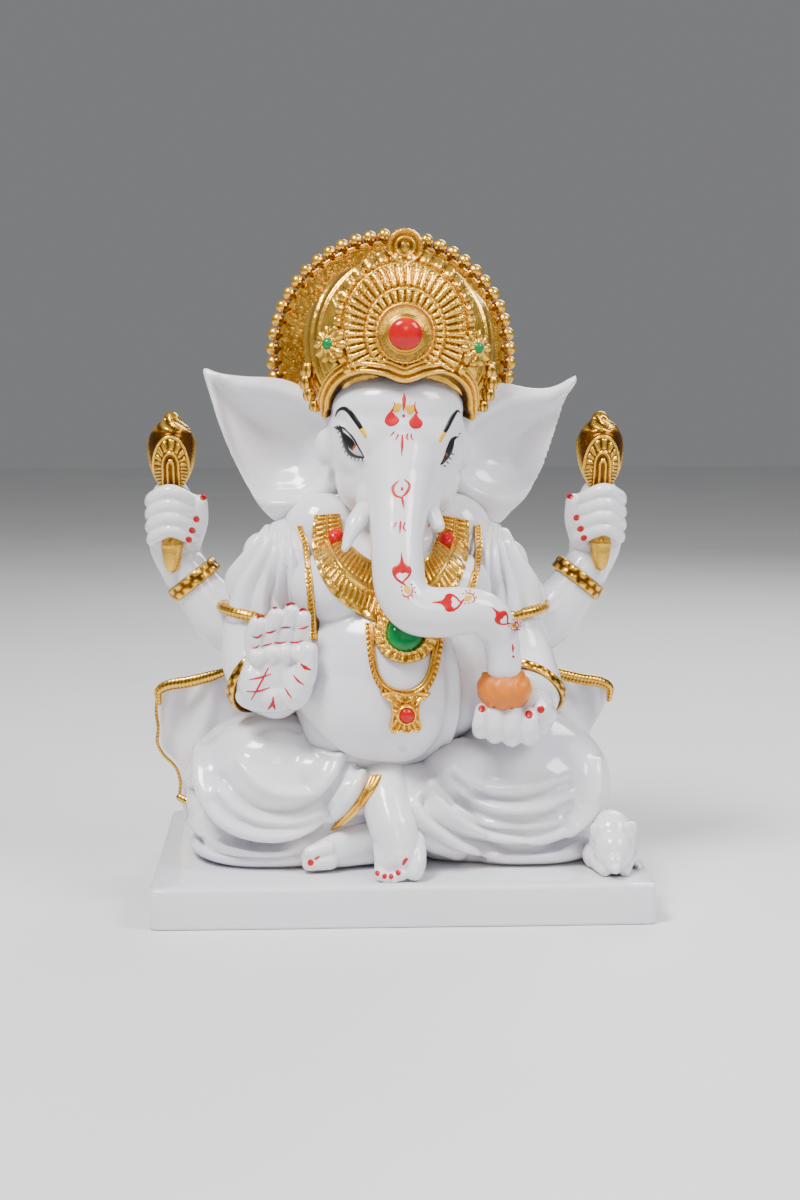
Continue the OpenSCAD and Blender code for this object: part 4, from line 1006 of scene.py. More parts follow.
def ear_shell(side, table, hollow):
    """An ear: a leaf whose front and back both sink by a smooth step of the depth inside the hollow's outline.

    Outside the outline the leaf swells to a rolled rim, a bell of the distance from the outline.
    """
    rows = spline(table, 150)
    x, top, low = (rows[:, i:i + 1] for i in range(3))
    v = np.linspace(0, 1, 110)[None, :]
    x, z = x + 0 * v, low + (top - low) * v
    share = (x - 20) / 52
    flat = np.stack([side * x - 2.8, z], -1).reshape(-1, 2)
    depth = inside_depth(flat, hollow).reshape(z.shape)
    sunk = 4.6 * step(-0.7, 1.8, depth) + 7.0 * step(0.5, 13, depth)
    out = np.maximum(-depth, 0)
    rim = 2.6 * hill(out - 3.4, 3.0) * step(0.0, 1.2, out) * step(1.05, 0.8, share)
    y = 1.0 + 3.4 * share**1.6 + sunk - rim
    half = (2.4 - 0.5 * share + 0.5 * rim) * np.sqrt(np.clip(4.6 * v * (1 - v), 0.3, 1))
    front = np.stack([side * x - 2.8, y - half, z], -1)
    back = np.stack([side * x - 2.8, y + half + rim * 0.4, z], -1)
    return skin(np.concatenate([front, back[:, ::-1]], 1))


def face_relief(points, normals):
    """Brow ridges, the hollows of the eyes and a soft ridge down the middle of the forehead."""
    flat = seat_plane(points, -33.0)
    front = step(0.0, 0.5, -normals[:, 1])
    lift = 0.5 * hill(crease_distance(flat, [(-24.5, 183), (-21, 185.6), (-17, 182), (-13.4, 176.6)]), 2.6)
    lift += 0.5 * hill(crease_distance(flat, [(22.5, 183), (20.5, 184.6), (18, 181.4), (14.4, 174.6)]), 2.6)
    lift += 0.7 * hill(crease_distance(flat, [(-21.5, 178), (-19, 174), (-15.5, 170)]), 3.4)
    lift += 0.7 * hill(crease_distance(flat, [(20, 176), (18.4, 171), (15.4, 166.6)]), 3.0)
    lift -= 0.7 * hill(crease_distance(flat, [(-25, 182), (-21.5, 181.6), (-17.4, 177), (-13, 169.6)]), 1.5)
    lift -= 0.7 * hill(crease_distance(flat, [(22.5, 180), (20.4, 179), (17.4, 172), (14.4, 166)]), 1.4)
    lift -= 0.6 * hill(crease_distance(flat, [(-23, 177), (-21, 170), (-15, 165.6)]), 1.6)
    return lift * front


TRUNK = [(0, -10, 180), (0, -19, 170), (-0.4, -27, 160), (-1, -34, 150), (-1.8, -40.5, 140), (-1.8, -45.5, 130.5),
    (-0.6, -49, 121), (4.2, -51, 114.8), (12, -51.5, 113.4), (21, -51, 113.8), (28.6, -50, 112.8), (33.4, -49, 108.6),
    (35.8, -48, 102), (36.8, -47.4, 93)]
TRUNK_R = [19.5, 18.4, 15.4, 12.6, 11.0, 10.0, 9.6, 9.6, 9.4, 9.2, 8.8, 7.8, 6.7, 6.6]


def build_head(scene):
    sizes = scene.idol_sizes
    shells = [ellipsoid((-0.8, -7, 175), (26.2, 27, 28), square=2.4, rows=40, sides=80),
        ellipsoid((-0.5, -11, 159), (23.6, 19, 17), square=2.2),
        ellipsoid((-0.6, -12.5, 186.5), (25, 20.6, 15), square=2.2), ellipsoid((-0.6, -19, 164), (18.6, 14.5, 18)),
        tube(TRUNK, TRUNK_R, rows=150, sides=48), ear_shell(-1, RIGHT_EAR, RIGHT_HOLLOW),
        ear_shell(1, LEFT_EAR, LEFT_HOLLOW), ellipsoid((-27, -8.6, 171), (4.8, 4.6, 7.6)),
        ellipsoid((24.8, -8.6, 170), (4.8, 4.6, 7.4)), ellipsoid((-11.6, -27, 153), (5.0, 6, 6.4)),
        ellipsoid((10, -27, 151), (5.0, 6, 6.4)), ellipsoid((-3.2, 4, 146), (34, 13, 7.4)),]
    resin_cast(["head", "trunk", "right_ear", "left_ear"], "head_skin", shells, sizes.fineness / MM, 12, face_relief,
        after=1)
    whole = [(-12.4, -29, 150.0), (-17.2, -36, 143.6), (-20.8, -40.3, 135.8)]
    short = [(10.0, -28, 149.4), (12.2, -32.4, 146), (13.6, -35, 143.4)]
    tusk = {"rows": 40, "ref": (1, 0, 0), "sides": 32}
    piece("right_tusk_horn", [tube(whole, [3.9, 3.6, 1.4], **tusk)], LOOK["resin"], "white_resin", "right_tusk")
    piece("left_tusk_horn", [tube(short, [3.6, 3.3, 2.4], **tusk)], LOOK["resin"], "white_resin", "left_tusk")


# ---- Shawl ---------------------------------------------------------------------------------------


def pleats(points, side, height):
    """Rounded pleats with sharp valleys that fan out of a point by the neck: a cosine of the angle, made positive."""
    flat = seat_plane(points, -10.0)
    x0, z0 = (MIDDLE + side * 41.0, 151.0)
    dx, dz = (flat[:, 0] - x0) * side, z0 - flat[:, 2]
    reach = np.hypot(dx, dz)
    angle = np.arctan2(dx, dz)
    wave = np.abs(np.cos(angle * 17 + 0.7 * np.sin(reach * 0.13) + 0.5 * np.sin(angle * 9)))
    return height * (wave - 0.6) * step(6, 20, reach)


def build_sleeves(scene):
    sizes = scene.idol_sizes
    for side, tag in ((-1, "right"), (1, "left")):
        at = mirrored(side, MIDDLE - 1.8)
        shells = [tube([at(27, 2, 132), at(39, 2, 126), at(46, 0.5, 117), at(48.4, -1.5, 108)], [15, 15.6, 14.6, 13.2],
            rows=50, sides=60), ellipsoid(at(34, -1, 124), (14, 18, 17))]
        for points, _, _, _ in shells:
            points[:, 2] = np.maximum(points[:, 2], 105.0)
        resin_cast([f"{tag}_sleeve"], f"{tag}_sleeve_pleats", shells, 0.7, 5, lambda p, n,
            s=side: pleats(p, s, sizes.pleat / MM), after=1)


def ladder(pitch, high, rim=0.75):
    """A border's relief: smooth rims with short rungs between them, leaning a little."""
    def height(run, across):
        side = step(0.0, 0.1, across) * step(1.0, 0.9, across)
        rims = hill(across - 0.14, 0.09) + hill(across - 0.86, 0.09)
        rungs = (0.5 + 0.5 * np.cos(2 * pi * (run + 1.4 * across) / pitch)) * step(0.2, 0.32, across) \
            * step(0.8, 0.68, across)
        return high * (0.28 + side * (0.2 + rim * np.maximum(rims, 0.85 * rungs)))
    return height


def edges(line, widths):
    """The two edges of a strip about a centre line."""
    line = np.asarray(line, float)
    w = np.interp(np.linspace(0, 1, len(line)), np.linspace(0, 1, len(widths)), widths)
    side = unit(np.gradient(line, axis=0)) @ np.array([[0, 1], [-1, 0]])
    return line - side * w[:, None] / 2, line + side * w[:, None] / 2


# The shawl's back at each height: left and right ends, depth, and place from front to back.
SHAWL_ROWS = [(15, -86, 62, 12, 43), (21, -86.6, 66, 11.8, 42.6), (27, -87.6, 70, 11.4, 42), (34, -86.8, 74, 11, 41.4),
    (40, -88.6, 77, 10, 41), (45, -93.4, 79, 8.8, 40.4), (50, -95.6, 81, 8, 40), (56, -95, 83.6, 7.4, 39.4),
    (62, -96, 86.6, 6.4, 38.6), (68, -96.4, 89.2, 5.4, 38), (73, -95.8, 88.6, 4.8, 37), (77.6, -77.5, 70.5, 6.6, 37),
    (81.6, -66.5, 59.5, 9, 36), (92, -59.5, 52.5, 10, 33), (108, -50.5, 43.5, 10, 28), (119, -44.5, 37.5, 9.6, 25),
    (126, -36.5, 29.5, 8, 23), (129, -25.5, 18.5, 5, 22)]


def shawl_shell():
    """The shawl's back: flattened rings whose ends, depth and place change with height, with hanging folds."""
    rows = spline(SHAWL_ROWS, 130)
    a = np.linspace(0, 2 * pi, 220, endpoint=False)[None, :]
    z, low, high, deep, y = (rows[:, i:i + 1] for i in range(5))
    middle, half = (low + high) / 2, (high - low) / 2
    x = middle + half * np.sign(np.cos(a)) * np.abs(np.cos(a)) ** 0.9
    fall = step(124, 60, z)
    fold = np.sin((x - MIDDLE) * 0.3 + 0.02 * (z - 60)) + 0.5 * np.sin((x - MIDDLE) * 0.67 + 1.3)
    swell = 2.2 * fall * fold * step(1.0, 0.6, np.abs(x - middle) / half)
    rear = step(-0.1, 0.3, np.sin(a))
    away = np.abs(x - MIDDLE)
    sway = 2.0 * step(62, 72, away) * np.sin((away - 60) * 0.34 + z * 0.11) * (1 - rear) * step(1.0, 0.9, away / 93)
    return skin(np.stack([x, y + deep * np.sin(a) + swell * rear + sway, z + 0 * a], -1))


def build_shawl(scene):
    piece("shawl_drape", [shawl_shell()], LOOK["resin"], "white_resin", "shawl_back")
    for side, tag in ((-1, "right"), (1, "left")):
        at = mirrored(side)
        def ropes(run, angle):
            return 0.04 * np.cos(2 * pi * run / 1.5 + angle) + 0.1 * np.cos(5 * angle)
        rims = [tube([at(91.6, 34.4, 66), at(91.6, 33.4, 71), at(87, 32, 73.8), at(79, 31.2, 75.2), at(70, 30.4, 77.6),
            at(63.5, 28, 80)], [1.0, 2.0, 2.3, 2.3, 2.1, 1.3], rows=220, sides=20, bumps=ropes, flat=0.75)]
        if side < 0:
            hem = [(-95.8, 34.6, 70), (-96.2, 34.6, 62), (-95.4, 33.6, 56), (-95.8, 33.2, 50), (-93.4, 33.2, 45),
                   (-88.8, 33.4, 40), (-86.8, 33, 34), (-87.4, 33, 27)]
            rims += [tube(hem, [0.5, 0.6, 0.6, 0.6, 0.6, 0.6, 0.5], rows=200, sides=12, bumps=ropes),
                tube([(-87, 31.6, 27.6), (-83.4, 30.4, 26.2), (-79, 30.6, 25.6)], [1.5, 1.7, 1.2], rows=50, sides=14,
                bumps=ropes)]
        gild("edge", f"{tag}_wing_edge", rims, f"{tag}_wing_border")
        ring = closed_spline([at(48.6 - 1.8 * side + 13.7 * cos(t), -1 + 13.7 * sin(t),
            107.2 + 2.6 * cos(t)) for t in np.linspace(0, 2 * pi, 12, endpoint=False)], 40)
        def hem(run, angle):
            return 0.05 * np.cos(2 * pi * run / 1.6) + 0.12 * np.cos(5 * angle)
        piece(f"{tag}_sleeve_edge", [tube(ring, [2.1], ref=(0, 0, 1), rows=200, sides=18, bumps=hem, loop=True)],
              LOOK["edge"], "gold_paint", f"{tag}_sleeve_hem")
    skins = ["torso_skin", "right_sleeve_pleats", "left_sleeve_pleats"]
    left = edges([(-38.6, 145), (-37.4, 140), (-35.2, 133), (-33.6, 126), (-32.9, 117), (-32.2, 108), (-31.8, 99)],
        [3.4, 3.9, 4.0, 4.1, 4.0, 3.6])
    right = edges([(28.6, 145), (29.2, 139), (28.8, 132), (27.2, 125), (25.2, 118), (23.6, 111)], [3.6, 4.0, 4.0, 4.0])
    shells = lay_strips(skins, -30, [(*left, 150, 13, ladder(1.5, 1.6))], 1.6, 3)
    gild("gold", "right_shawl_strip", shells, "right_shawl_border")
    shells = lay_strips(skins, -30, [(*right, 120, 13, ladder(1.5, 1.6))], 1.6, 3)
    gild("gold", "left_shawl_strip", shells, "left_shawl_border")


# ---- Crown and halo ------------------------------------------------------------------------------


def crown_zone(angle, side, up):
    """A zone's radius about the red stone: side outwards, growing to up above the stone."""
    return side + (up - side) * np.maximum(np.sin(angle), 0) ** 1.6


def crown_face(x, z):
    """Depth of the crown's front at (x, z): a shallow dome about the red stone, leaning back with height."""
    reach = np.hypot(x - 1.5, z - 213)
    lean = 0.13 * np.maximum(z - 213, 0) + 0.018 * np.maximum(z - 228, 0) ** 2
    return -33.2 + 3.1 * (reach / 27) ** 2.2 + lean + 0.35 * np.maximum(np.abs(x - 1.5) - 20, 0)


def medallion_shell():
    """Rings about the red stone: each point's height comes from its zone and from the flutes of that zone."""
    angle = np.linspace(0, 2 * pi, 420, endpoint=False)[None, :]
    zones = [crown_zone(angle, *pair) for pair in ((6.3, 6.3), (11.0, 11.4), (14.2, 16.8), (22.4, 26.2), (26.4, 32.2))]
    share = np.linspace(0, 1, 110)[:, None]
    rim = zones[4] * (1 - 0.028 * np.abs(np.sin(angle * 17)))
    r = (1 - share) * rim + share * 0.3
    z0, z1, z2, z3 = zones[:4]
    flute = lambda count, power: np.abs(np.cos(angle * count)) ** power
    plate = 2.2 - 0.9 * step(z0, z0 + 1, r) + 1.0 * hill(r - z1 + 0.5, 0.55)
    inner = 1.0 + 1.3 * flute(17, 0.8) * step(z1, z1 + 1.2, r) * step(z2, z2 - 1.4, r) + 1.5 * hill(r - z2, 0.6)
    outer = 0.4 + 1.4 * flute(23, 0.8) * step(z2, z2 + 1.5, r) * step(z3, z3 - 1.6, r) + 1.7 * hill(r - z3, 0.65)
    petals = -0.9 + 2.2 * flute(17, 0.6) * step(z3, z3 + 1.6, r) + 0.5 * hill(r - (z3 + rim) / 2, 1.4)
    height = np.where(r < z1, plate, np.where(r < z2, inner, np.where(r < z3, outer, petals)))
    grain = np.random.default_rng(11).normal(0, 0.09, height.shape)
    height = height + grain * step(z1 - 3, z1, r)
    x, z = STONE_X + r * np.cos(angle), STONE_Z + r * np.sin(angle)
    y = crown_face(x, z) + 1.5
    z = np.maximum(z, 201.6 + 1.6 * step(0, 8, np.abs(x - 1.5)) - 0.012 * (x - 1.5) ** 2)
    front = np.stack([x, y - height, z], -1)
    back = front[:1] + np.array([0, 12.0, 0])
    # tone is the level the gold finish colours by: low in the flutes' valleys, for glaze and painted shade, high on the
    # rings and ridges, for gilding and painted highlight.
    tone = np.where(r < z1, 0.62 + 0.3 * hill(r - z1 + 0.5, 0.8),
        np.where(r < z2, 0.08 + 0.9 * flute(17, 0.8),
        np.where(r < z3, 0.08 + 0.9 * flute(23, 0.8), 0.1 + 0.85 * flute(17, 0.6))))
    tone = np.maximum(tone, np.maximum(0.95 * hill(r - z2, 0.7), 0.95 * hill(r - z3, 0.7))) + grain
    level = np.concatenate([np.zeros((1, 420)), np.clip(tone, 0, 1)])
    return skin(np.concatenate([back, front]), level)


def cap_shell():
    """The domed cap: latitude rings of an ellipsoid, with rims and a veined leaf on each side, cut off behind."""
    lat = np.linspace(-1.15, pi / 2 - 0.02, 140)[:, None]
    lon = np.linspace(0, 2 * pi, 420, endpoint=False)[None, :]
    x = 0.6 + 36.2 * np.cos(lat) * np.cos(lon)
    y = -1 + 27 * np.cos(lat) * np.sin(lon)
    z = 208 + 35 * np.sin(lat) + 0 * lon
    reach = np.hypot((x - 1.5) * 1.02, z - 211)
    turn = np.arctan2(z - 211, np.abs(x - 1.5))
    rims = hill(reach - 36.6, 0.55) + 0.9 * hill(reach - 34.4, 0.5) + 0.8 * hill(reach - 32.0, 0.45)
    leaf = step(24, 26.5, reach) * step(31.4, 30, reach)
    spine = hill(turn - 0.35 - 0.03 * (reach - 24), 0.035)
    veins = 0.5 * np.abs(np.sin(turn * 9 - np.sign(turn - 0.35) * (reach - 24) * 0.42)) ** 2
    rear = step(0.15, 0.5, np.sin(lon))
    flutes = 0.9 * np.abs(np.cos(lon * 18)) * rear
    height = (1.25 * rims + leaf * (0.5 + 0.9 * spine + veins)) * (1 - rear) + flutes
    height = height + np.random.default_rng(5).normal(0, 0.05, height.shape)
    n = unit(np.stack([(x - 0.6) / 36.2**2, (y + 1) / 27**2, (z - 208) / 35**2], -1))
    p = np.stack([x, y, z], -1) + n * height[..., None]
    p[..., 1] = np.minimum(p[..., 1], 20.6)
    arch = np.maximum(0, 1 - (p[..., 0] / 27) ** 2) ** 0.5
    low = 183.0 + 15 * arch * step(0, -8, p[..., 1])
    p[..., 2] = np.maximum(p[..., 2], low)
    return skin(p, np.clip(0.42 + height / 2.6, 0, 1))


def band_shell():
    """The band over the forehead: a double moulding carried along an arch that dips at its middle."""
    path = spline([(-27.6, -12, 183), (-27.8, -17, 189.4), (-25.2, -22.6, 195.6), (-20.4, -27.4, 199.8),
        (-13.6, -30.8, 201.6), (-6, -33.0, 200.6), (1.3, -33.8, 198.2), (8.4, -33, 200.4), (14.8, -30.8, 201.4),
        (21, -27, 199.4), (25.6, -21.8, 195), (27.6, -16.4, 189), (27.6, -12, 182)], 220)
    tangent = unit(np.gradient(path, axis=0))
    outward = unit(path - np.array([0.6, 2.0, 186.0]) * [1, 1, 1])
    outward = unit(outward * [0.8, 1.6, 0.25])
    outward = unit(outward - tangent * (outward * tangent).sum(1, keepdims=True))
    up = np.cross(outward, tangent)
    up = up * np.sign((up[len(up) // 2] @ np.array([0, 0, 1])))
    profile = np.array([(-2.6, -8.0), (-3.0, -0.9), (-2.7, 0.7), (-2.1, 1.25), (-1.4, 1.2), (-0.95, 0.55),
        (-0.6, 0.15), (-0.2, 0.4), (0.3, 1.15), (0.9, 1.35), (1.5, 1.1), (1.8, 0.5), (2.1, 0.3), (2.4, 0.65),
        (2.9, 0.8), (3.2, 0.4), (3.3, -0.4), (2.9, -8.0)])
    fine = closed_spline(profile, 54)
    ends = np.clip(np.minimum(np.arange(220), np.arange(220)[::-1]) / 12, 0.45, 1)[:, None]
    rings = path[:, None] + up[:, None] * (fine[None, :, :1] * ends[..., None] * 0.95) \
        + outward[:, None] * (fine[None, :, 1:] * 1.1)
    level = np.clip((fine[:, 1] + 0.4) / 1.75, 0, 1)
    return skin(rings, np.broadcast_to(level, (220, 54)))


def flower_shells(x, y, z, turn, petals):
    """A flower: a dish of petals whose rim is a rounded star, about a raised cup, facing outwards."""
    angle = np.linspace(0, 2 * pi, 12 * petals, endpoint=False)[None, :]
    share = np.linspace(1, 0.02, 26)[:, None]
    ripple = np.abs(np.cos(petals / 2 * angle))
    star = 0.8 + 0.2 * ripple ** 0.7
    r = 6.9 * share * star
    height = 2.3 * np.sin(np.clip(share, 0, 1) * pi * 0.72) * (0.55 + 0.45 * ripple ** 0.8) \
        + 1.5 * hill(share - 0.34, 0.1) - 0.8 * hill(share, 0.22)
    t = radians(turn)
    out = np.array([sin(t), -cos(t), 0.12])
    across = unit(np.cross(np.array([0, 0, 1.0]), out))
    up = np.cross(out, across)
    centre = np.array([x, y, z])
    front = centre + across * (r * np.cos(angle))[..., None] + up * (r * np.sin(angle))[..., None] + out * height[...,
        None]
    back = front[:1] - out * 5.0
    level = np.concatenate([np.zeros((1, height.shape[1])), np.clip(height / 2.6, 0, 1)])
    return [skin(np.concatenate([back, front]), level)], centre + out * 2.0


def halo_shells(width, count, low):
    """The halo: a plate of polar rings with a stippled front and a fluted back, cut level below, and its beads."""
    centre, front_y, back_y = np.array([HALO_X, 0, HALO_Z]), 20.25, 24.75
    angle = np.linspace(-pi / 2, 1.5 * pi, 480, endpoint=False)[None, :]
    r = width / 2 - 0.4
    limit = np.where(np.sin(angle) < 0, (low - HALO_Z) / np.minimum(np.sin(angle), -1e-6), 1e9)
    share = np.linspace(0.02, 1, 96)[:, None]
    reach = np.minimum(r, limit) * share
    rng = np.random.default_rng(3)
    cells = rng.normal(0, 1, (96, 480))
    cells = (cells + np.roll(cells, 1, 0) + np.roll(cells, 1, 1) + np.roll(cells, (1, 1), (0, 1))) / 2
    away = r - reach
    stipple = 0.085 * cells * step(0.8, 2.0, away) + 0.35 * hill(away - 0.8, 0.6)
    back = 0.7 * np.abs(np.cos(angle * 24)) * step(10, 16, reach) * step(1.5, 4, away) + 0.9 * hill(away - 1.2, 0.9) \
        + 0.8 * hill(reach - 13, 0.9)
    x, z = centre[0] + reach * np.cos(angle), centre[2] + reach * np.sin(angle)
    front = np.stack([x, front_y - stipple, z], -1)
    rear = np.stack([x, back_y - 0.6 + back * 0.7, z], -1)
    level = np.clip(np.concatenate([stipple / 1.1 + 0.5, (back / 1.3 + 0.2)[::-1]]), 0, 1)
    plate = skin(np.concatenate([front, rear[::-1]]), level)
    ring = BEAD_RING
    start = asin((low + 2.6 - HALO_Z) / ring)
    at = np.linspace(start, pi - start, count)
    shells = []
    for i, a in enumerate(at):
        wobble = 0.08 * sin(i * 2.4)
        c = (HALO_X + ring * cos(a), 22.5, HALO_Z + ring * sin(a))
        shells.append(ellipsoid(c, (2.72 + wobble, 2.7, 2.72 - wobble), rows=12, sides=20))
        # A smaller cup behind each bead shows round its inner side: painted shade where the bead meets the plate.
        cup = (HALO_X + (ring - 1.9) * cos(a), 21.9, HALO_Z + (ring - 1.9) * sin(a))
        shells.append(ellipsoid(cup, (2.5, 2.35, 2.5), rows=8, sides=16))
    for beads in shells[0::2]:
        beads[3][:] = 0.86
    # The cups get a low level, so the gold finish paints them its dark, shaded colour.
    for shade_cups in shells[1::2]:
        shade_cups[3][:] = 0.22
    return [plate], shells


def finial_shell():
    """The ringed boss above the medallion: a lathe along a line that runs forward, with three rims on its face."""
    profile = smooth_profile([(0.01, -10.5), (4.4, -10), (5.6, -7.5), (6.3, -4), (6.6, -1.0), (6.5, 1.4), (5.9, 2.4),
        (5.2, 1.6), (4.6, 1.0), (4.0, 1.5), (3.5, 2.2), (2.9, 1.5), (2.3, 0.8), (1.3, 1.2), (0.01, 1.5)], 110)
    start, along = (2.0, -20.5, 245.2), unit(np.array([0, -1, 0.06]))
    verts, quads, tris, _ = lathe(start, along, (1, 0, 0), profile, sides=72, bumps=lambda h, a,
        r: 0.22 * np.abs(np.cos(a * 9)) * step(4.9, 5.6, r))
    level = np.clip(((verts - start) @ along - 0.2) / 2.0, 0.1, 1)
    return verts, quads, tris, level


def build_crown(scene):
    sizes = scene.idol_sizes
    gild("gold", "crown_cap_leaves", [cap_shell()], "crown_cap")
    gild("gold", "crown_medallion_rings", [medallion_shell()], "crown_medallion")
    knobs = []
    for xs in ((-33.6, -34.4, -33.4, -31.4), (34.0, 34.8, 33.8, 31.6)):
        for x, z, r in zip(xs, (200, 195.4, 191, 186.6), (3.0, 2.7, 2.4, 2.1)):
            profile = smooth_profile([(0.01, r * 1.1), (r * 0.7, r * 0.9), (r, 0), (r * 0.7, -r * 0.9),
                (0.01, -r * 1.1)], 18)
            knobs.append(lathe((x, -11, z), (0, 0, 1), (1, 0, 0), profile, sides=30, bumps=lambda h, a,
                q: 0.3 * np.abs(np.cos(a * 4))))
    gild("gold", "crown_band_moulding", [band_shell(), *knobs], "crown_band")
    left, left_seat = flower_shells(-25.4, -26.4, 209.4, -36, sizes.petals)
    right, right_seat = flower_shells(27.2, -26.2, 208.0, 36, sizes.petals)
    gild("gold", "crown_flower_pair", left + right, "crown_flowers")
    piece("crown_green_beads", [ellipsoid(left_seat, (2.3, 2.3, 2.3)), ellipsoid(right_seat, (2.3, 2.3, 2.3))],
          LOOK["green"], "green_enamel", "crown_emeralds")
    piece("crown_red_stone", [ellipsoid((STONE_X, -34.6, STONE_Z), (6.2, 3.2, 5.9), rows=30, sides=60)], LOOK["red"],
          "red_enamel", "crown_ruby")
    gild("gold", "crown_top_boss", [finial_shell()], "crown_finial")
    plate, beads = halo_shells(sizes.halo_width / MM, sizes.beads, HALO_CUT)
    gild("plate", "halo_plate", plate, "halo")
    gild("gold", "halo_rim_beads", beads, "halo_beads")


# ---- Bracelets, bangles, maces -------------------------------------------------------------------


def cuff(centre, axis, radius, thick, wide, studs, squash=1.0, lift=0.5):
    """A cuff: a rounded oblong section carried round a limb, with two rows of studs between its rims."""
    axis = unit(np.array(axis, float))
    out = unit(np.cross(axis, [0, 1, 0.001]))
    across = np.cross(axis, out)
    turn = np.linspace(0, 2 * pi, studs * 8, endpoint=False)
    around = np.linspace(0, 2 * pi, 30, endpoint=False)
    v = np.sign(np.sin(around)) * np.abs(np.sin(around)) ** 0.7
    h = np.sign(np.cos(around)) * np.abs(np.cos(around)) ** 0.7
    outer = np.clip(h, 0, 1)
    rows = np.cos(2 * pi * v * 0.95 + pi) * 0.5 + 0.5
    stud = lift * outer[None, :] * rows[None, :] * (0.5 + 0.5 * np.cos(turn[:, None] * studs + pi * (v[None, :] > 0)))
    rim = lift * 0.8 * outer * hill(np.abs(v) - 0.86, 0.14)
    reach = radius + thick * h[None, :] + stud + rim[None, :]
    direction = out * np.cos(turn)[:, None] + across * np.sin(turn)[:, None] * squash
    rings = np.array(centre, float) + direction[:, None] * reach[..., None] + axis * (wide * v)[None, :, None]
    level = np.clip((stud + rim[None, :]) / lift + 0.15 * outer[None, :], 0, 1)
    return skin(rings, level, loop=True)


def mace_shell(side):
    """A mace: a lathe from its pointed tail to its knobbed head, with a fluted hood round an oval boss in front."""
    up = unit(np.array([side * -0.02 * 0, sin(radians(6)), cos(radians(6))]))
    centre = np.array([MIDDLE + side * 83.5, 9.5, 140.0])
    profile = smooth_profile([(0.01, -18.4), (2.0, -17.3), (3.1, -14.6), (3.7, -11.6), (4.1, -8.8), (4.5, -7.4),
        (3.9, -6), (3.8, 4), (3.9, 12), (4.8, 15.5), (6.5, 19.5), (7.9, 23.5), (8.7, 28), (8.9, 32), (8.3, 35.2),
        (6.8, 37.8), (5.0, 39.6), (3.6, 40.8), (3.1, 42.2), (1.8, 43.8), (0.01, 44.3)], 190)

    def hood(h, a, r):
        across = r * np.sin(a)
        face = step(0.0, 0.45, np.cos(a)) * step(9, 13, h) * step(37.5, 34.5, h)
        reach = np.hypot(across / 3.0, (h - 22.5) / 5.0)
        arch = np.where(h > 22.5, reach, np.abs(across) / 3.0)
        spoke = np.where(h > 22.5, np.arctan2(h - 22.5, across) * 3.9, (h - 22.5) * 1.05)
        flutes = 0.8 * np.abs(np.sin(spoke * 2.4)) * step(1.2, 1.35, arch) * step(2.15, 2.0, arch)
        rims = 0.8 * hill(arch - 0.4, 0.14) + 0.9 * hill(arch - 1.05, 0.12) + 1.0 * hill(arch - 2.3, 0.13)
        rear = 0.6 * np.abs(np.sin(a * 9)) * step(14, 20, h) * step(36, 32, h) * (1 - face)
        scales = 0.35 * np.cos(a * 7 + np.floor(h * 1.4)) * step(36, 37, h) * step(42.5, 41, h)
        return (flutes + rims - 0.5) * face + rear + scales + 0 * r

    verts, quads, tris, level = lathe(centre, up, (0, -1, 0.105), profile, sides=120, bumps=hood)
    height = (verts - centre) @ up
    return verts, quads, tris, np.where(height < 10, 0.66, np.clip(level * 1.15, 0.12, 1))


def build_maces(scene):
    for side, tag in ((-1, "right"), (1, "left")):
        at = mirrored(side)
        gild("gold", f"rear_{tag}_mace_turned", [mace_shell(side)], f"rear_{tag}_mace")
        piece(f"rear_{tag}_bangle_studs", [cuff(at(75.6, 15.2, 118.2), (side * 0.62, 0.06, 0.78), 9.9, 1.3, 2.9, 15)],
              LOOK["gold"], "gold_paint", f"rear_{tag}_bangle")
    gild("gold", "right_bracelet_studs", [cuff((-52.9, -21.2, 84.8), (0.62, -0.64, -0.45), 13.0, 1.2, 2.1, 19)],
        "right_bracelet")
    gild("gold", "left_bracelet_studs", [cuff((49.9, -19.4, 81), (-0.45, -0.6, -0.66), 12.8, 1.2, 1.8, 19)],
        "left_bracelet")


# ---- Collar and pendants -------------------------------------------------------------------------


def collar_height(pitch):
    """Relief across the collar: beaded inner rim, fluted band, smooth ridge, wider flutes, scalloped outer leaves."""
    def height(run, across):
        fine = np.abs(np.cos(pi * run / pitch))
        leaf = np.abs(np.cos(pi * run / (2.6 * pitch)))
        return 0.9 + 1.1 * hill(across - 0.05, 0.05) + 0.9 * fine * step(0.1, 0.16, across) * step(0.46, 0.42, across) \
            + 1.6 * hill(across - 0.5, 0.045) + 1.0 * fine**0.8 * step(0.54, 0.6, across) * step(0.84, 0.8, across) \
            + 1.2 * leaf * step(0.8, 0.86, across) * step(1.02, 0.95, across) + 0.5 * hill(across - 0.3, 0.18)
    return height


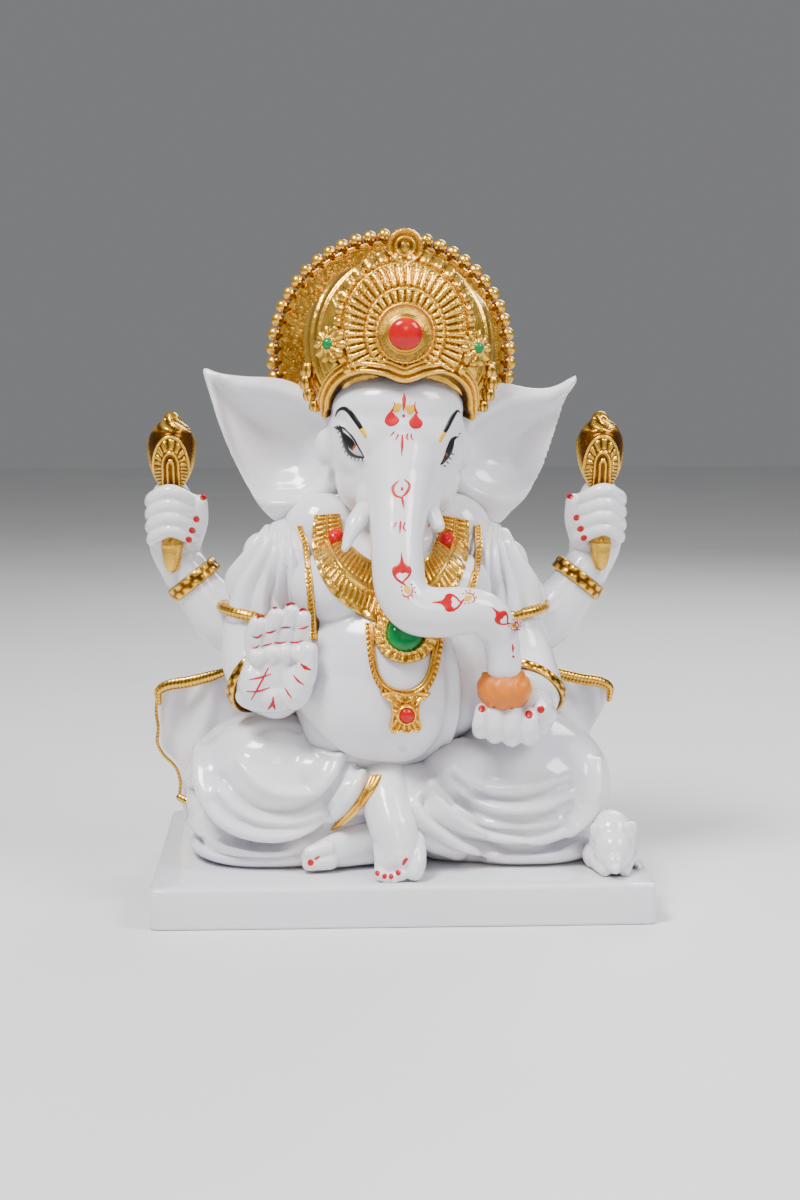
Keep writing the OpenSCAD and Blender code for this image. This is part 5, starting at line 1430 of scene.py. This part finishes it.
def build_jewellery(scene):
    sizes = scene.idol_sizes
    pitch = sizes.flute / MM
    skins = ["torso_skin", "right_sleeve_pleats", "left_sleeve_pleats"]
    inner = [(-22.8, 149), (-21.2, 142), (-18.8, 137), (-14.6, 133), (-9, 130), (-2, 128.6), (4, 129), (8.6, 131),
        (11.2, 135), (12.8, 140), (14, 144.6), (15.4, 148.6)]
    outer = [(-33.2, 149.6), (-34.6, 142), (-34.6, 134.6), (-32, 126.6), (-28, 118.8), (-20.6, 111.6), (-9, 105),
        (2, 103.6), (13, 108.4), (20, 117), (24.8, 126), (26.6, 137), (26.2, 147.6)]
    shells = lay_strips(skins, -32, [(inner, outer, 420, 44, collar_height(pitch))], 3.0, 5)
    stones = [(-24.6, 139.6), (17.2, 138.2)]
    gild("gold", "collar_flutes", shells, "necklace")
    SKINS["collar_flutes"] = bpy.data.objects["collar_flutes"]
    red = [(np.stack([x + 2.9 * np.cos(t), z + 2.7 * np.sin(t)], -1),
            lambda share, angle: 0.6 + 2.2 * np.sqrt(np.clip(1.02 - share**2, 0, 1)), 14, 36)
           for x, z in stones for t in [np.linspace(0, 2 * pi, 12, endpoint=False)]]
    piece("collar_red_stones", lay_discs(["collar_flutes"], -30, red, 1.0, 12), LOOK["red"], "red_enamel",
        "necklace_rubies")

    torso = ["torso_skin"]
    ring = np.linspace(0, 2 * pi, 24, endpoint=False)
    lobes = lambda share, angle: 1.3 + (1.2 * np.abs(np.cos(angle * 11)) * step(0.6, 0.7, share) * step(1.03, 0.92,
        share) + 1.3 * hill(share - 0.64, 0.07) + 0.5 * np.abs(np.cos(angle * 16 + 9 * share)) * step(0.7, 0.8, share))
    setting = [(np.stack([1.0 + 11.6 * np.cos(ring), 104.6 + 10.6 * np.sin(ring)], -1), lobes, 40, 180)]
    gild("gold", "pendant_lobes", lay_discs(torso, -46, setting, 2.0), "pendant_setting")
    dome = [(np.stack([0.5 + 6.5 * np.cos(ring), 104.4 + 6.4 * np.sin(ring)], -1), lambda share,
        angle: 1.4 + 3.6 * np.sqrt(np.clip(1.01 - share**2, 0, 1)), 24, 72)]
    piece("pendant_green_dome", lay_discs(torso, -46, dome, 1.0), LOOK["green"], "green_enamel", "pendant_emerald")

    def double_line(run, across):
        ribs = np.abs(np.cos(pi * run / 1.9))
        return 0.5 + 1.4 * hill(across - 0.14, 0.1) + 1.5 * hill(across - 0.42, 0.12) \
            + 1.2 * ribs * step(0.56, 0.66, across) * step(1.02, 0.94, across)

    loop_in = [(-10.8, 110), (-10.2, 103), (-9.8, 97), (-8.6, 91.6), (-6.2, 87.6), (-3, 85.6), (0.6, 85), (4.2, 86),
        (7.2, 88.8), (8.8, 93), (9.4, 98), (10.6, 104), (12, 109)]
    loop_out = [(-14.4, 110), (-13.9, 103), (-13.1, 96), (-11.6, 89.4), (-9, 84.6), (-5, 81.4), (0.8, 80.2), (6, 81.4),
        (10, 84.8), (12.6, 90), (13.9, 96), (15.2, 103), (16.4, 109)]
    piece("pendant_double_loop", lay_strips(torso, -50, [(loop_in, loop_out, 260, 26, double_line)], 1.4, 2),
          LOOK["gold"], "gold_paint", "pendant_loop")
    drop_line = [(-8.6, 83.4), (-5.4, 81.6), (-4.6, 78.6), (-4.4, 75), (-5.2, 71), (-3.6, 69), (-1.2, 69.8),
        (0.8, 68.8), (2.8, 69.8), (5, 69.2), (6.4, 71.2), (5.6, 75), (5.6, 78.6), (6.6, 81.6), (9.6, 83.6), (5, 84.4),
        (0.6, 83.6), (-4, 84.4)]
    body = lambda share, angle: 1.3 + 1.5 * hill(share - 0.9, 0.08) + 1.5 * np.abs(np.cos(angle * 7)) \
        * step(0.4, 0.55, share) * step(0.86, 0.74, share)
    seat = (np.stack([0.7 + 3.7 * np.cos(ring), 75.9 + 3.7 * np.sin(ring)], -1),
            lambda share, angle: 2.8 + 1.2 * hill(share - 0.8, 0.16), 18, 48)
    gild("gold", "pendant_drop_leaf", lay_discs(torso, -50, [(drop_line, body, 40, 200), seat], 1.4), "pendant_drop")
    stud = [(np.stack([0.7 + 2.5 * np.cos(ring), 75.9 + 2.5 * np.sin(ring)], -1), lambda share,
        angle: 3.2 + 1.9 * np.sqrt(np.clip(1.01 - share**2, 0, 1)), 12, 36)]
    piece("pendant_red_stud", lay_discs(torso, -50, stud, 1.0), LOOK["red"], "red_enamel", "pendant_ruby")
    strip_in = [(-12.2, 53), (-13, 50.4), (-15.4, 46.6), (-18.6, 42.2), (-22, 37.8), (-25.6, 33.4), (-28.2, 30.6)]
    strip_out = [(-6.8, 53), (-7.4, 49.6), (-10.4, 44.8), (-14.2, 40.4), (-18.6, 36.4), (-23.6, 32.6), (-27.2, 29.8)]
    fold = lambda run, across: 0.6 + 1.2 * hill(across - 0.75, 0.17) + 0.9 * hill(across - 0.25, 0.17)
    piece("dhoti_gold_edge", lay_strips(["leg_cloth", "right_foot_skin", "torso_skin"], -47,
        [(strip_in, strip_out, 120, 20, fold)], 2.2, 3), LOOK["edge"], "gold_paint", "dhoti_border")


# ---- Painted marks -------------------------------------------------------------------------------


def lashes(roots, direction, length, width=0.36):
    """Short tapered strokes from each root in a direction that turns slightly from one to the next."""
    out = []
    for i, (x, z) in enumerate(roots):
        a = radians(direction[0] + (direction[1] - direction[0]) * i / max(len(roots) - 1, 1))
        out.append(stroke([(x, z), (x + length * 0.6 * cos(a), z + length * 0.6 * sin(a)),
            (x + length * cos(a + 0.25), z + length * sin(a + 0.25))], [width, width, 0.06], 0.2, 6))
    return out


def paint(name, depth, skins, look, slot, strips=(), blots=()):
    """One piece of paint: its strokes and patches laid on the skins."""
    shells = []
    if strips:
        shells += lay_strips(skins, depth, list(strips), 0.4)
    if blots:
        shells += lay_discs(skins, depth, list(blots), 0.4)
    return piece(name, shells, look, slot)


def bud_motif(tip, turn, size=1.0):
    """A generic leaf bud on a looped stalk with a yellow seed inside a ring of dots, as strokes and patches."""
    a = radians(turn)

    def at(u, v):
        return (tip[0] + size * (u * cos(a) + v * sin(a)), tip[1] + size * (u * sin(a) - v * cos(a)))

    red = [stroke([at(*p) for p in line], [w * size for w in widths]) for line, widths in (
        ([(0, -0.4), (0.1, 1.6), (0.2, 3.4)], (0.2, 0.6, 1.2)),
        ([(-2.9, 5.6), (-2.7, 7.4), (-1.6, 9.2), (0.2, 10.6), (1.6, 11.6)], (0.8, 0.8, 0.7, 0.7, 0.4)),
        ([(3.2, 5.6), (3.0, 7.2), (2.0, 8.8), (0.6, 10.2), (1.2, 11.2)], (0.8, 0.7, 0.6, 0.5, 0.3)),
        ([(3.6, 12.0), (4.0, 13.4), (3.2, 15.0), (1.4, 15.6), (0.2, 14.4)], (0.2, 0.4, 0.4, 0.4, 0.2)))]
    leaf = [blot([at(*p) for p in ((0.15, 2.4), (-1.3, 4.0), (-3.0, 5.0), (-3.4, 6.6), (-2.6, 8.2), (-1.6, 7.4),
        (-0.6, 6.9), (0.4, 7.2), (1.6, 6.8), (2.7, 7.4), (3.5, 6.4), (3.2, 4.8), (1.6, 4.0))], 0.18)]
    dots = [spot(*at(u, v), 0.34 * size) for u, v in (
        (0.0, 12.0), (0.2, 13.4), (0.9, 15.2), (2.4, 16.2), (3.9, 15.4), (4.9, 14.0), (4.7, 12.4), (3.6, 11.2))]
    gold = [blot([at(u, v) for u, v in ((1.2, 11.4), (2.6, 12.0), (3.3, 13.4), (2.6, 14.6), (1.4, 14.2), (0.9, 12.8))],
        0.2)]
    return red, leaf + dots, gold


def build_face_paint(scene):
    skin_name = ["head_skin"]
    lids = [stroke([(-24.5, 184.5), (-23.5, 186.3), (-21.5, 187), (-19.5, 186), (-17.5, 183.5), (-15.5, 180.5),
        (-14.3, 178.5)], [0.3, 0.9, 1.3, 1.5, 1.6, 1.5, 1.3], 0.2),
        stroke([(22, 185.6), (21, 186.3), (19.8, 185), (18.3, 182.5), (17, 179.7), (15.8, 177.6)],
        [0.3, 0.9, 1.3, 1.4, 1.3, 1.1], 0.2),
        stroke([(-24.3, 180), (-22.2, 179), (-21.3, 176.5), (-20.6, 173.5), (-19.5, 171), (-17.8, 169.5),
        (-15.8, 168.8), (-13.6, 168.5)], [0.5, 1.0, 1.3, 1.3, 1.2, 1.1, 0.8, 0.4], 0.26),
        stroke([(-24, 180.3), (-21.5, 179.8), (-19.5, 178), (-17.5, 175.5), (-15.8, 172.5), (-13.7, 168.7)],
        [0.5, 0.6, 0.65, 0.6, 0.5, 0.3], 0.26),
        stroke([(20.5, 176.6), (19, 175.2), (18.3, 173), (17.6, 171), (16.8, 169), (15.5, 167), (14.5, 166)],
        [0.6, 1.4, 1.9, 2.0, 1.7, 1.1, 0.4], 0.26),]
    lids += lashes([(-22.2, 178.6), (-21.6, 176.9), (-21.1, 175.2), (-20.7, 173.4), (-20.1, 171.8), (-19.2, 170.5),
        (-18, 169.4), (-16.7, 168.9), (-15.4, 168.6), (-14.2, 168.4)], (186, 262), 1.5)
    lids += lashes([(-24.2, 180.2), (-23.4, 180.4), (-22.4, 180.3)], (150, 130), 1.1)
    lids += lashes([(18.6, 170.2), (17.8, 168.6), (16.9, 167.2), (15.8, 166)], (-22, -52), 1.2)
    lids += lashes([(21.4, 177.6), (20.6, 176.4)], (40, 20), 1.0)
    paint("face_black", FACE_PLANE, skin_name, LOOK["black"], "black_paint", lids)
    paint("eye_white_patch", FACE_PLANE, skin_name, LOOK["white"], "black_paint", (),
        [blot([(-21.5, 178.8), (-20, 178), (-18, 176), (-16.4, 173.3), (-14.9, 170.6), (-13.8, 168.7), (-15.8, 169.2),
        (-17.8, 170), (-19.4, 171.5), (-20.4, 173.6), (-21.1, 176.2)], 0.1)])
    paint("eye_pupil_patch", FACE_PLANE, skin_name, LOOK["black"], "black_paint", (), [blot(
        [(-21.3, 178.3), (-19.5, 177), (-17.5, 174.8), (-16.8, 173), (-17.2, 171.8), (-18.2, 171.3), (-19.3, 172.2),
         (-20.3, 174.5), (-21, 176.8)], 0.16)])
    paint("eye_iris_arc", FACE_PLANE, skin_name, LOOK["brown"], "black_paint",
          [stroke([(-16.5, 174), (-17.3, 172.5), (-18.2, 171.3)], [0.5, 0.8, 0.5], 0.22)],
          [spot(16.7, 169.8, 0.5, 0.3, 1.5)])
    yellow = [stroke([(-14.6, 179), (-13.6, 177.3), (-13, 175.8)], [1.5, 1.4, 0.9], 0.22),
        stroke([(15.9, 177.8), (14.8, 175.8), (14.2, 174.2)], [1.2, 1.2, 0.7], 0.22)]
    petals = [blot([(-3.2, 186), (-2.2, 188), (-0.6, 188.2), (0.2, 187.2), (-0.8, 185.2), (-2.2, 184.8)], 0.18),
        blot([(1.2, 187), (2.6, 187.6), (4.5, 187.4), (5, 186), (4.2, 184.6), (2.6, 184.2)], 0.18)]
    paint("face_yellow", FACE_PLANE, skin_name, LOOK["yellow"], "yellow_paint", yellow, petals)
    strokes = [stroke(p, w) for p, w in (([(-3.9, 184.6), (-2.8, 186.3), (-2.3, 187.8), (-2.8, 188.8)],
        (0.8, 0.7, 0.5, 0.2)), ([(5.9, 184.3), (5.1, 186), (4.9, 187.6), (5.3, 188.5)], (0.8, 0.7, 0.5, 0.2)),
        ([(1.1, 192), (1.1, 190), (1, 187.5), (0.7, 185.2)], (0.1, 1.3, 0.9, 0.2)),
        ([(-2.4, 177.8), (-4, 176.2)], (0.5, 0.3)), ([(-1, 176.8), (-2, 174.6)], (0.6, 0.3)),
        ([(0.4, 176.6), (0.35, 173), (0.15, 168.6)], (0.5, 0.9, 0.15)),
        ([(2.4, 177), (2, 175.6), (2.6, 174.6)], (0.5, 0.6, 0.3)),
        ([(3.7, 177), (3.7, 175.5), (4.3, 174.6)], (0.4, 0.5, 0.3)),
        ([(-0.8, 159.5), (-3, 157), (-2.2, 154), (0.4, 153)], (0.2, 0.9, 0.9, 0.4)),
        ([(1, 160), (3, 157.8), (2, 155), (0.2, 153.2)], (0.2, 0.8, 0.9, 0.4)),
        ([(0.1, 153.4), (0.6, 151.5), (1, 149)], (0.7, 0.8, 0.2)),
        ([(-15, 152.5), (-13.8, 149), (-13.5, 144.5)], (0.2, 0.9, 0.3)),
        ([(12.2, 150), (11, 146), (10, 142.5)], (0.2, 0.8, 0.3)))]
    drops = [blot([(-3.7, 185.2), (-5, 184.2), (-6, 182.3), (-5.8, 180.8), (-4.5, 179.8), (-3, 179.8), (-1.5, 180.6),
        (-0.7, 181.8), (-1.2, 183), (-2.4, 184.2)], 0.22),
        blot([(5.2, 184.5), (6.5, 183), (7.8, 181.4), (7.6, 179.8), (6.2, 178.9), (4.4, 178.9), (3.2, 179.9),
        (2.8, 181.3), (3.6, 182.8), (4.5, 183.8)], 0.22), spot(0.9, 183.6, 0.6), spot(0.3, 156.3, 0.5, squash=1.5)]
    paint("forehead_red_marks", FACE_PLANE, skin_name, LOOK["pink"], "red_enamel", strokes, drops)


def build_trunk_paint(scene):
    red, dots, gold = [], [], []
    for tip, turn, size in (((-0.7, 134.6), 0, 1.0), ((10.6, 116.9), 88, 0.95), ((31.8, 115.0), 42, 0.78)):
        made = bud_motif(tip, turn, size)
        red, dots, gold = red + made[0], dots + made[1], gold + made[2]
    red += [stroke(p, w) for p, w in (([(-2.5, 146), (-3.5, 144.2)], (0.5, 0.3)),
        ([(-1, 146.5), (-1.3, 142)], (0.5, 0.7, 0.2)), ([(0.6, 146), (0, 144), (0.9, 142.8)], (0.5, 0.6, 0.3)),
        ([(39.4, 101.6), (39.6, 100), (39.6, 98.6)], (0.3, 0.8, 0.3)))]
    dots.append(spot(39.8, 97.0, 0.5))
    paint("trunk_red_marks", TRUNK_PLANE, ["head_skin"], LOOK["nail"], "red_enamel", red, dots)
    paint("trunk_yellow_marks", TRUNK_PLANE, ["head_skin"], LOOK["yellow"], "yellow_paint", (), gold)


PALM_STROKES = [
    ([(-48.8, 91.8), (-50.5, 88.5), (-53, 83.5), (-55.2, 79.8)], (0.4, 0.6, 0.6, 0.3)),
    ([(-55.8, 87.3), (-51.5, 88.2), (-47.8, 89.3)], (0.3, 0.7, 0.3)),
    ([(-57, 83), (-52.8, 83), (-48.3, 84.3)], (0.3, 0.7, 0.3)),
    ([(-37, 93.2), (-35, 91.7), (-33, 90.9)], (0.4, 1.2, 0.3)),
    ([(-39.6, 89), (-37.8, 86.9), (-35.6, 85.4)], (0.3, 0.7, 0.3)),
    ([(-42.7, 84.2), (-41.5, 82.3), (-40.2, 80.5)], (0.3, 0.6, 0.3)),
    ([(-47.2, 81), (-47.4, 78.5), (-49.2, 76.2)], (0.4, 1.0, 0.4)),
    ([(-47.3, 79), (-46.6, 76)], (0.8, 0.9, 0.3)),
    ([(-54.5, 103.2), (-52.8, 102.8), (-51, 104)], (0.3, 0.7, 0.3)),
    ([(-49.6, 104.8), (-48.4, 104.5), (-46, 105.5)], (0.3, 0.7, 0.3)),
    ([(-44.3, 106.3), (-42.5, 106.5), (-40.6, 106.5)], (0.3, 0.7, 0.3)),
    ([(-37.8, 106), (-35.8, 106.2), (-34, 107)], (0.3, 0.7, 0.3)),
    ([(-54.8, 98.9), (-53.4, 99), (-52.3, 100)], (0.3, 0.6, 0.3)),
    ([(-51, 99.8), (-49, 100.1), (-47.6, 100.7)], (0.3, 0.6, 0.3)),
    ([(-46.8, 101), (-44.5, 100.7), (-42.5, 101.1)], (0.3, 0.6, 0.3)),
    ([(-41, 101), (-38.5, 100.9), (-36.2, 101.7)], (0.3, 0.6, 0.3)),
    ([(-53, 110), (-51, 111.2)], (0.9, 0.7)),
    ([(-47, 113.5), (-45.5, 114)], (0.7, 0.6)),
    ([(-42, 114.5), (-40.5, 115.4), (-39, 115.2)], (0.7, 0.9, 0.5)),
    ([(-37.6, 112.6), (-36, 113.2), (-34.8, 112.8)], (0.7, 1.0, 0.5)),
]


def build_hand_paint(scene):
    paint("palm_red_lines", PALM_PLANE, ["right_palm_skin"], LOOK["nail"], "red_enamel",
        [stroke(*s) for s in PALM_STROKES])
    paint("left_hand_nails", LIMB_PLANE, ["left_hand_skin"], LOOK["nail"], "red_enamel", (),
        [spot(28.8, 77.2, 1.3, 0.25), spot(33.4, 78.6, 1.2, 0.25), spot(39.5, 78.6, 1.55, 0.25),
        spot(46, 75, 1.45, 0.25), spot(50.3, 76.8, 1.4, 0.25)])
    toes = [spot(-9.2, 17.2, 0.95, 0.22), spot(-6.6, 16.1, 0.95, 0.22), spot(-4.2, 16.0, 0.95, 0.22),
            spot(-1.6, 17.4, 1.0, 0.22), spot(-34, 19.8, 1.2, 0.22)]
    strokes = [stroke([(1.6, 22.8), (0.6, 21.4), (0.1, 20.2)], (0.9, 1.3, 0.6), 0.22),
        stroke([(-32.5, 20.9), (-30.6, 22.2)], (0.5, 0.8, 0.3))]
    paint("toe_nails", LIMB_PLANE, ["right_foot_skin", "left_foot_skin"], LOOK["nail"], "red_enamel", strokes, toes)
    for tag, nails in (("right", [(-74.6, 151), (-77.2, 142.6), (-78.8, 138.2), (-80, 134.6)]),
            ("left", [(67.6, 151), (70.2, 142.6), (71.8, 138.2), (73, 134.6)])):
        paint(f"rear_{tag}_nails", 8, [f"rear_{tag}_fist_skin"], LOOK["nail"], "red_enamel", (),
              [spot(x, z, 1.2, 0.25) for x, z in nails])


def build_dowels(scene):
    steel = LOOK["steel"]
    for node in ("plinth_dowels", "torso_dowels", "neck_dowel"):
        mesh = bpy.data.objects[node].data
        mesh.materials.clear()
        mesh.materials.append(steel)


# ---- Stage ---------------------------------------------------------------------------------------

FLOOR_REACH = 3.0  # metres from the middle to an edge of the floor
ROOM_COLOUR, ROOM_STRENGTH = (0.93, 0.94, 0.96, 1), 0.22
SENSOR, LENS = 36.0, 58.5  # millimetres
LIGHTS = [  # name, place, width in metres, power in watts, colour
    ("key", (-0.42, -0.42, 1.05), 0.34, 21.0, (1.0, 0.985, 0.965)),
    ("fill", (0.66, -0.4, 0.85), 0.4, 9.5, (0.97, 0.98, 1.0)),
    ("front", (0.1, -1.45, 0.85), 0.35, 2.6, (1.0, 0.99, 0.985)),
    ("rim", (0.35, 0.75, 0.75), 0.5, 6.0, (1.0, 1.0, 1.0)),
]


def build_stage(scene):
    low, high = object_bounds()
    size = FLOOR_REACH
    verts = [(-size, -size, 0), (size, -size, 0), (size, size, 0), (-size, size, 0)]
    mesh = bpy.data.meshes.new("floor")
    mesh.from_pydata(verts, [], [(0, 1, 2, 3)])
    floor = bpy.data.objects.new("floor", mesh)
    scene.collection.objects.link(floor)
    mat, shader, add, link = nodes_for("pale_floor")
    link(ramp(add, link, noise(add, link, 6.0, 2.0), [(0.3, (0.74, 0.74, 0.75)), (0.7, (0.78, 0.78, 0.78))]),
         shader.inputs["Base Color"])
    shader.inputs["Roughness"].default_value = 0.6
    mesh.materials.append(mat)
    floor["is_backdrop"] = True

    world = bpy.data.worlds.new("pale_room")
    world.use_nodes = True
    world.node_tree.nodes["Background"].inputs["Color"].default_value = ROOM_COLOUR
    world.node_tree.nodes["Background"].inputs["Strength"].default_value = ROOM_STRENGTH
    scene.world = world

    aim = np.array([(low[0] + high[0]) / 2, (low[1] + high[1]) / 2, (low[2] + high[2]) / 2])
    for name, at, width, power, colour in LIGHTS:
        data = bpy.data.lights.new(name, "AREA")
        data.shape, data.size, data.energy, data.color = "SQUARE", width, power, colour
        lamp = bpy.data.objects.new(name, data)
        scene.collection.objects.link(lamp)
        lamp.location = at
        lamp.rotation_euler = Vector(aim - np.array(at)).to_track_quat("-Z", "Y").to_euler()
    cam = bpy.data.cameras.new("camera")
    cam.sensor_fit, cam.sensor_height, cam.lens = "VERTICAL", SENSOR, LENS
    camera = bpy.data.objects.new("camera", cam)
    scene.collection.objects.link(camera)
    camera.location = EYE * MM
    camera.rotation_euler = (radians(90) - DIP, 0, -TURN)
    scene.camera = camera


# ---- Add-on --------------------------------------------------------------------------------------

STEPS = [  # operator name, label, what it builds, builder
    ("plinth", "Plinth", "Adds the plinth's slab", build_plinth),
    ("legs", "Cloth over the legs", "Adds the folded legs under their cloth", build_legs),
    ("feet", "Feet", "Adds both feet", build_feet),
    ("mouse", "Mouse", "Adds the mouse by the knee", build_mouse),
    ("torso", "Torso", "Adds the torso with its belly and the cloth's rolled rim", build_torso),
    ("arms", "Arms", "Adds the four arms", build_arms),
    ("hands", "Hands and sweet", "Adds the raised palm, the hand below and its sweet", build_hands),
    ("fists", "Raised fists", "Adds the two raised fists", build_fists),
    ("head", "Head", "Adds the head, ears, trunk and tusks", build_head),
    ("sleeves", "Sleeves", "Adds the pleated sleeves", build_sleeves),
    ("shawl", "Shawl", "Adds the shawl's back, its wings and its gold borders", build_shawl),
    ("crown", "Crown and halo", "Adds the crown, its stones and the halo", build_crown),
    ("maces", "Maces and bangles", "Adds the maces, bangles and bracelets", build_maces),
    ("jewellery", "Collar and pendants", "Adds the collar, the pendants and the gold edges", build_jewellery),
    ("face_paint", "Face paint", "Paints the eyes, the brows and the marks of the forehead", build_face_paint),
    ("trunk_paint", "Trunk paint", "Paints the flowers along the trunk", build_trunk_paint),
    ("hand_paint", "Hand and foot paint", "Paints the palm, the nails and the toes", build_hand_paint),
    ("dowels", "Dowels", "Gives the hidden dowels their steel", build_dowels),
    ("stage", "Stage", "Adds the floor, the lights and the camera", build_stage),
]


def make_operator(key, label, story, build):
    """An operator class that runs one builder."""

    def execute(self, context):
        finishes(context.scene)
        build(context.scene)
        return {"FINISHED"}

    return type(f"IDOL_OT_{key}", (bpy.types.Operator,), {
        "bl_idname": f"idol.{key}", "bl_label": label, "bl_options": {"REGISTER", "UNDO"}, "__doc__": story,
        "execute": execute})


OPERATORS = [make_operator(*row) for row in STEPS]


class IDOL_PT_sidebar(bpy.types.Panel):
    """The idol's pieces and settings."""

    bl_label = "Idol"
    bl_idname = "IDOL_PT_sidebar"
    bl_space_type = "VIEW_3D"
    bl_region_type = "UI"
    bl_category = "Idol"

    def draw(self, context):
        for group in (context.scene.idol_finishes, context.scene.idol_sizes):
            for key in group.__annotations__:
                self.layout.prop(group, key)
        for row in STEPS:
            self.layout.operator(f"idol.{row[0]}")


CLASSES = [IdolFinishes, IdolSizes, *OPERATORS, IDOL_PT_sidebar]


def register():
    """Registers the classes and hangs the settings on the scene."""
    for cls in CLASSES:
        bpy.utils.register_class(cls)
    bpy.types.Scene.idol_finishes = bpy.props.PointerProperty(type=IdolFinishes)
    bpy.types.Scene.idol_sizes = bpy.props.PointerProperty(type=IdolSizes)


def unregister():
    """Undoes register, in the opposite order."""
    del bpy.types.Scene.idol_sizes
    del bpy.types.Scene.idol_finishes
    for cls in reversed(CLASSES):
        bpy.utils.unregister_class(cls)


def main():
    """Runs every operator in order, then writes the sizes."""
    register()
    for row in STEPS:
        getattr(bpy.ops.idol, row[0])()


if __name__ == "__main__":
    main()
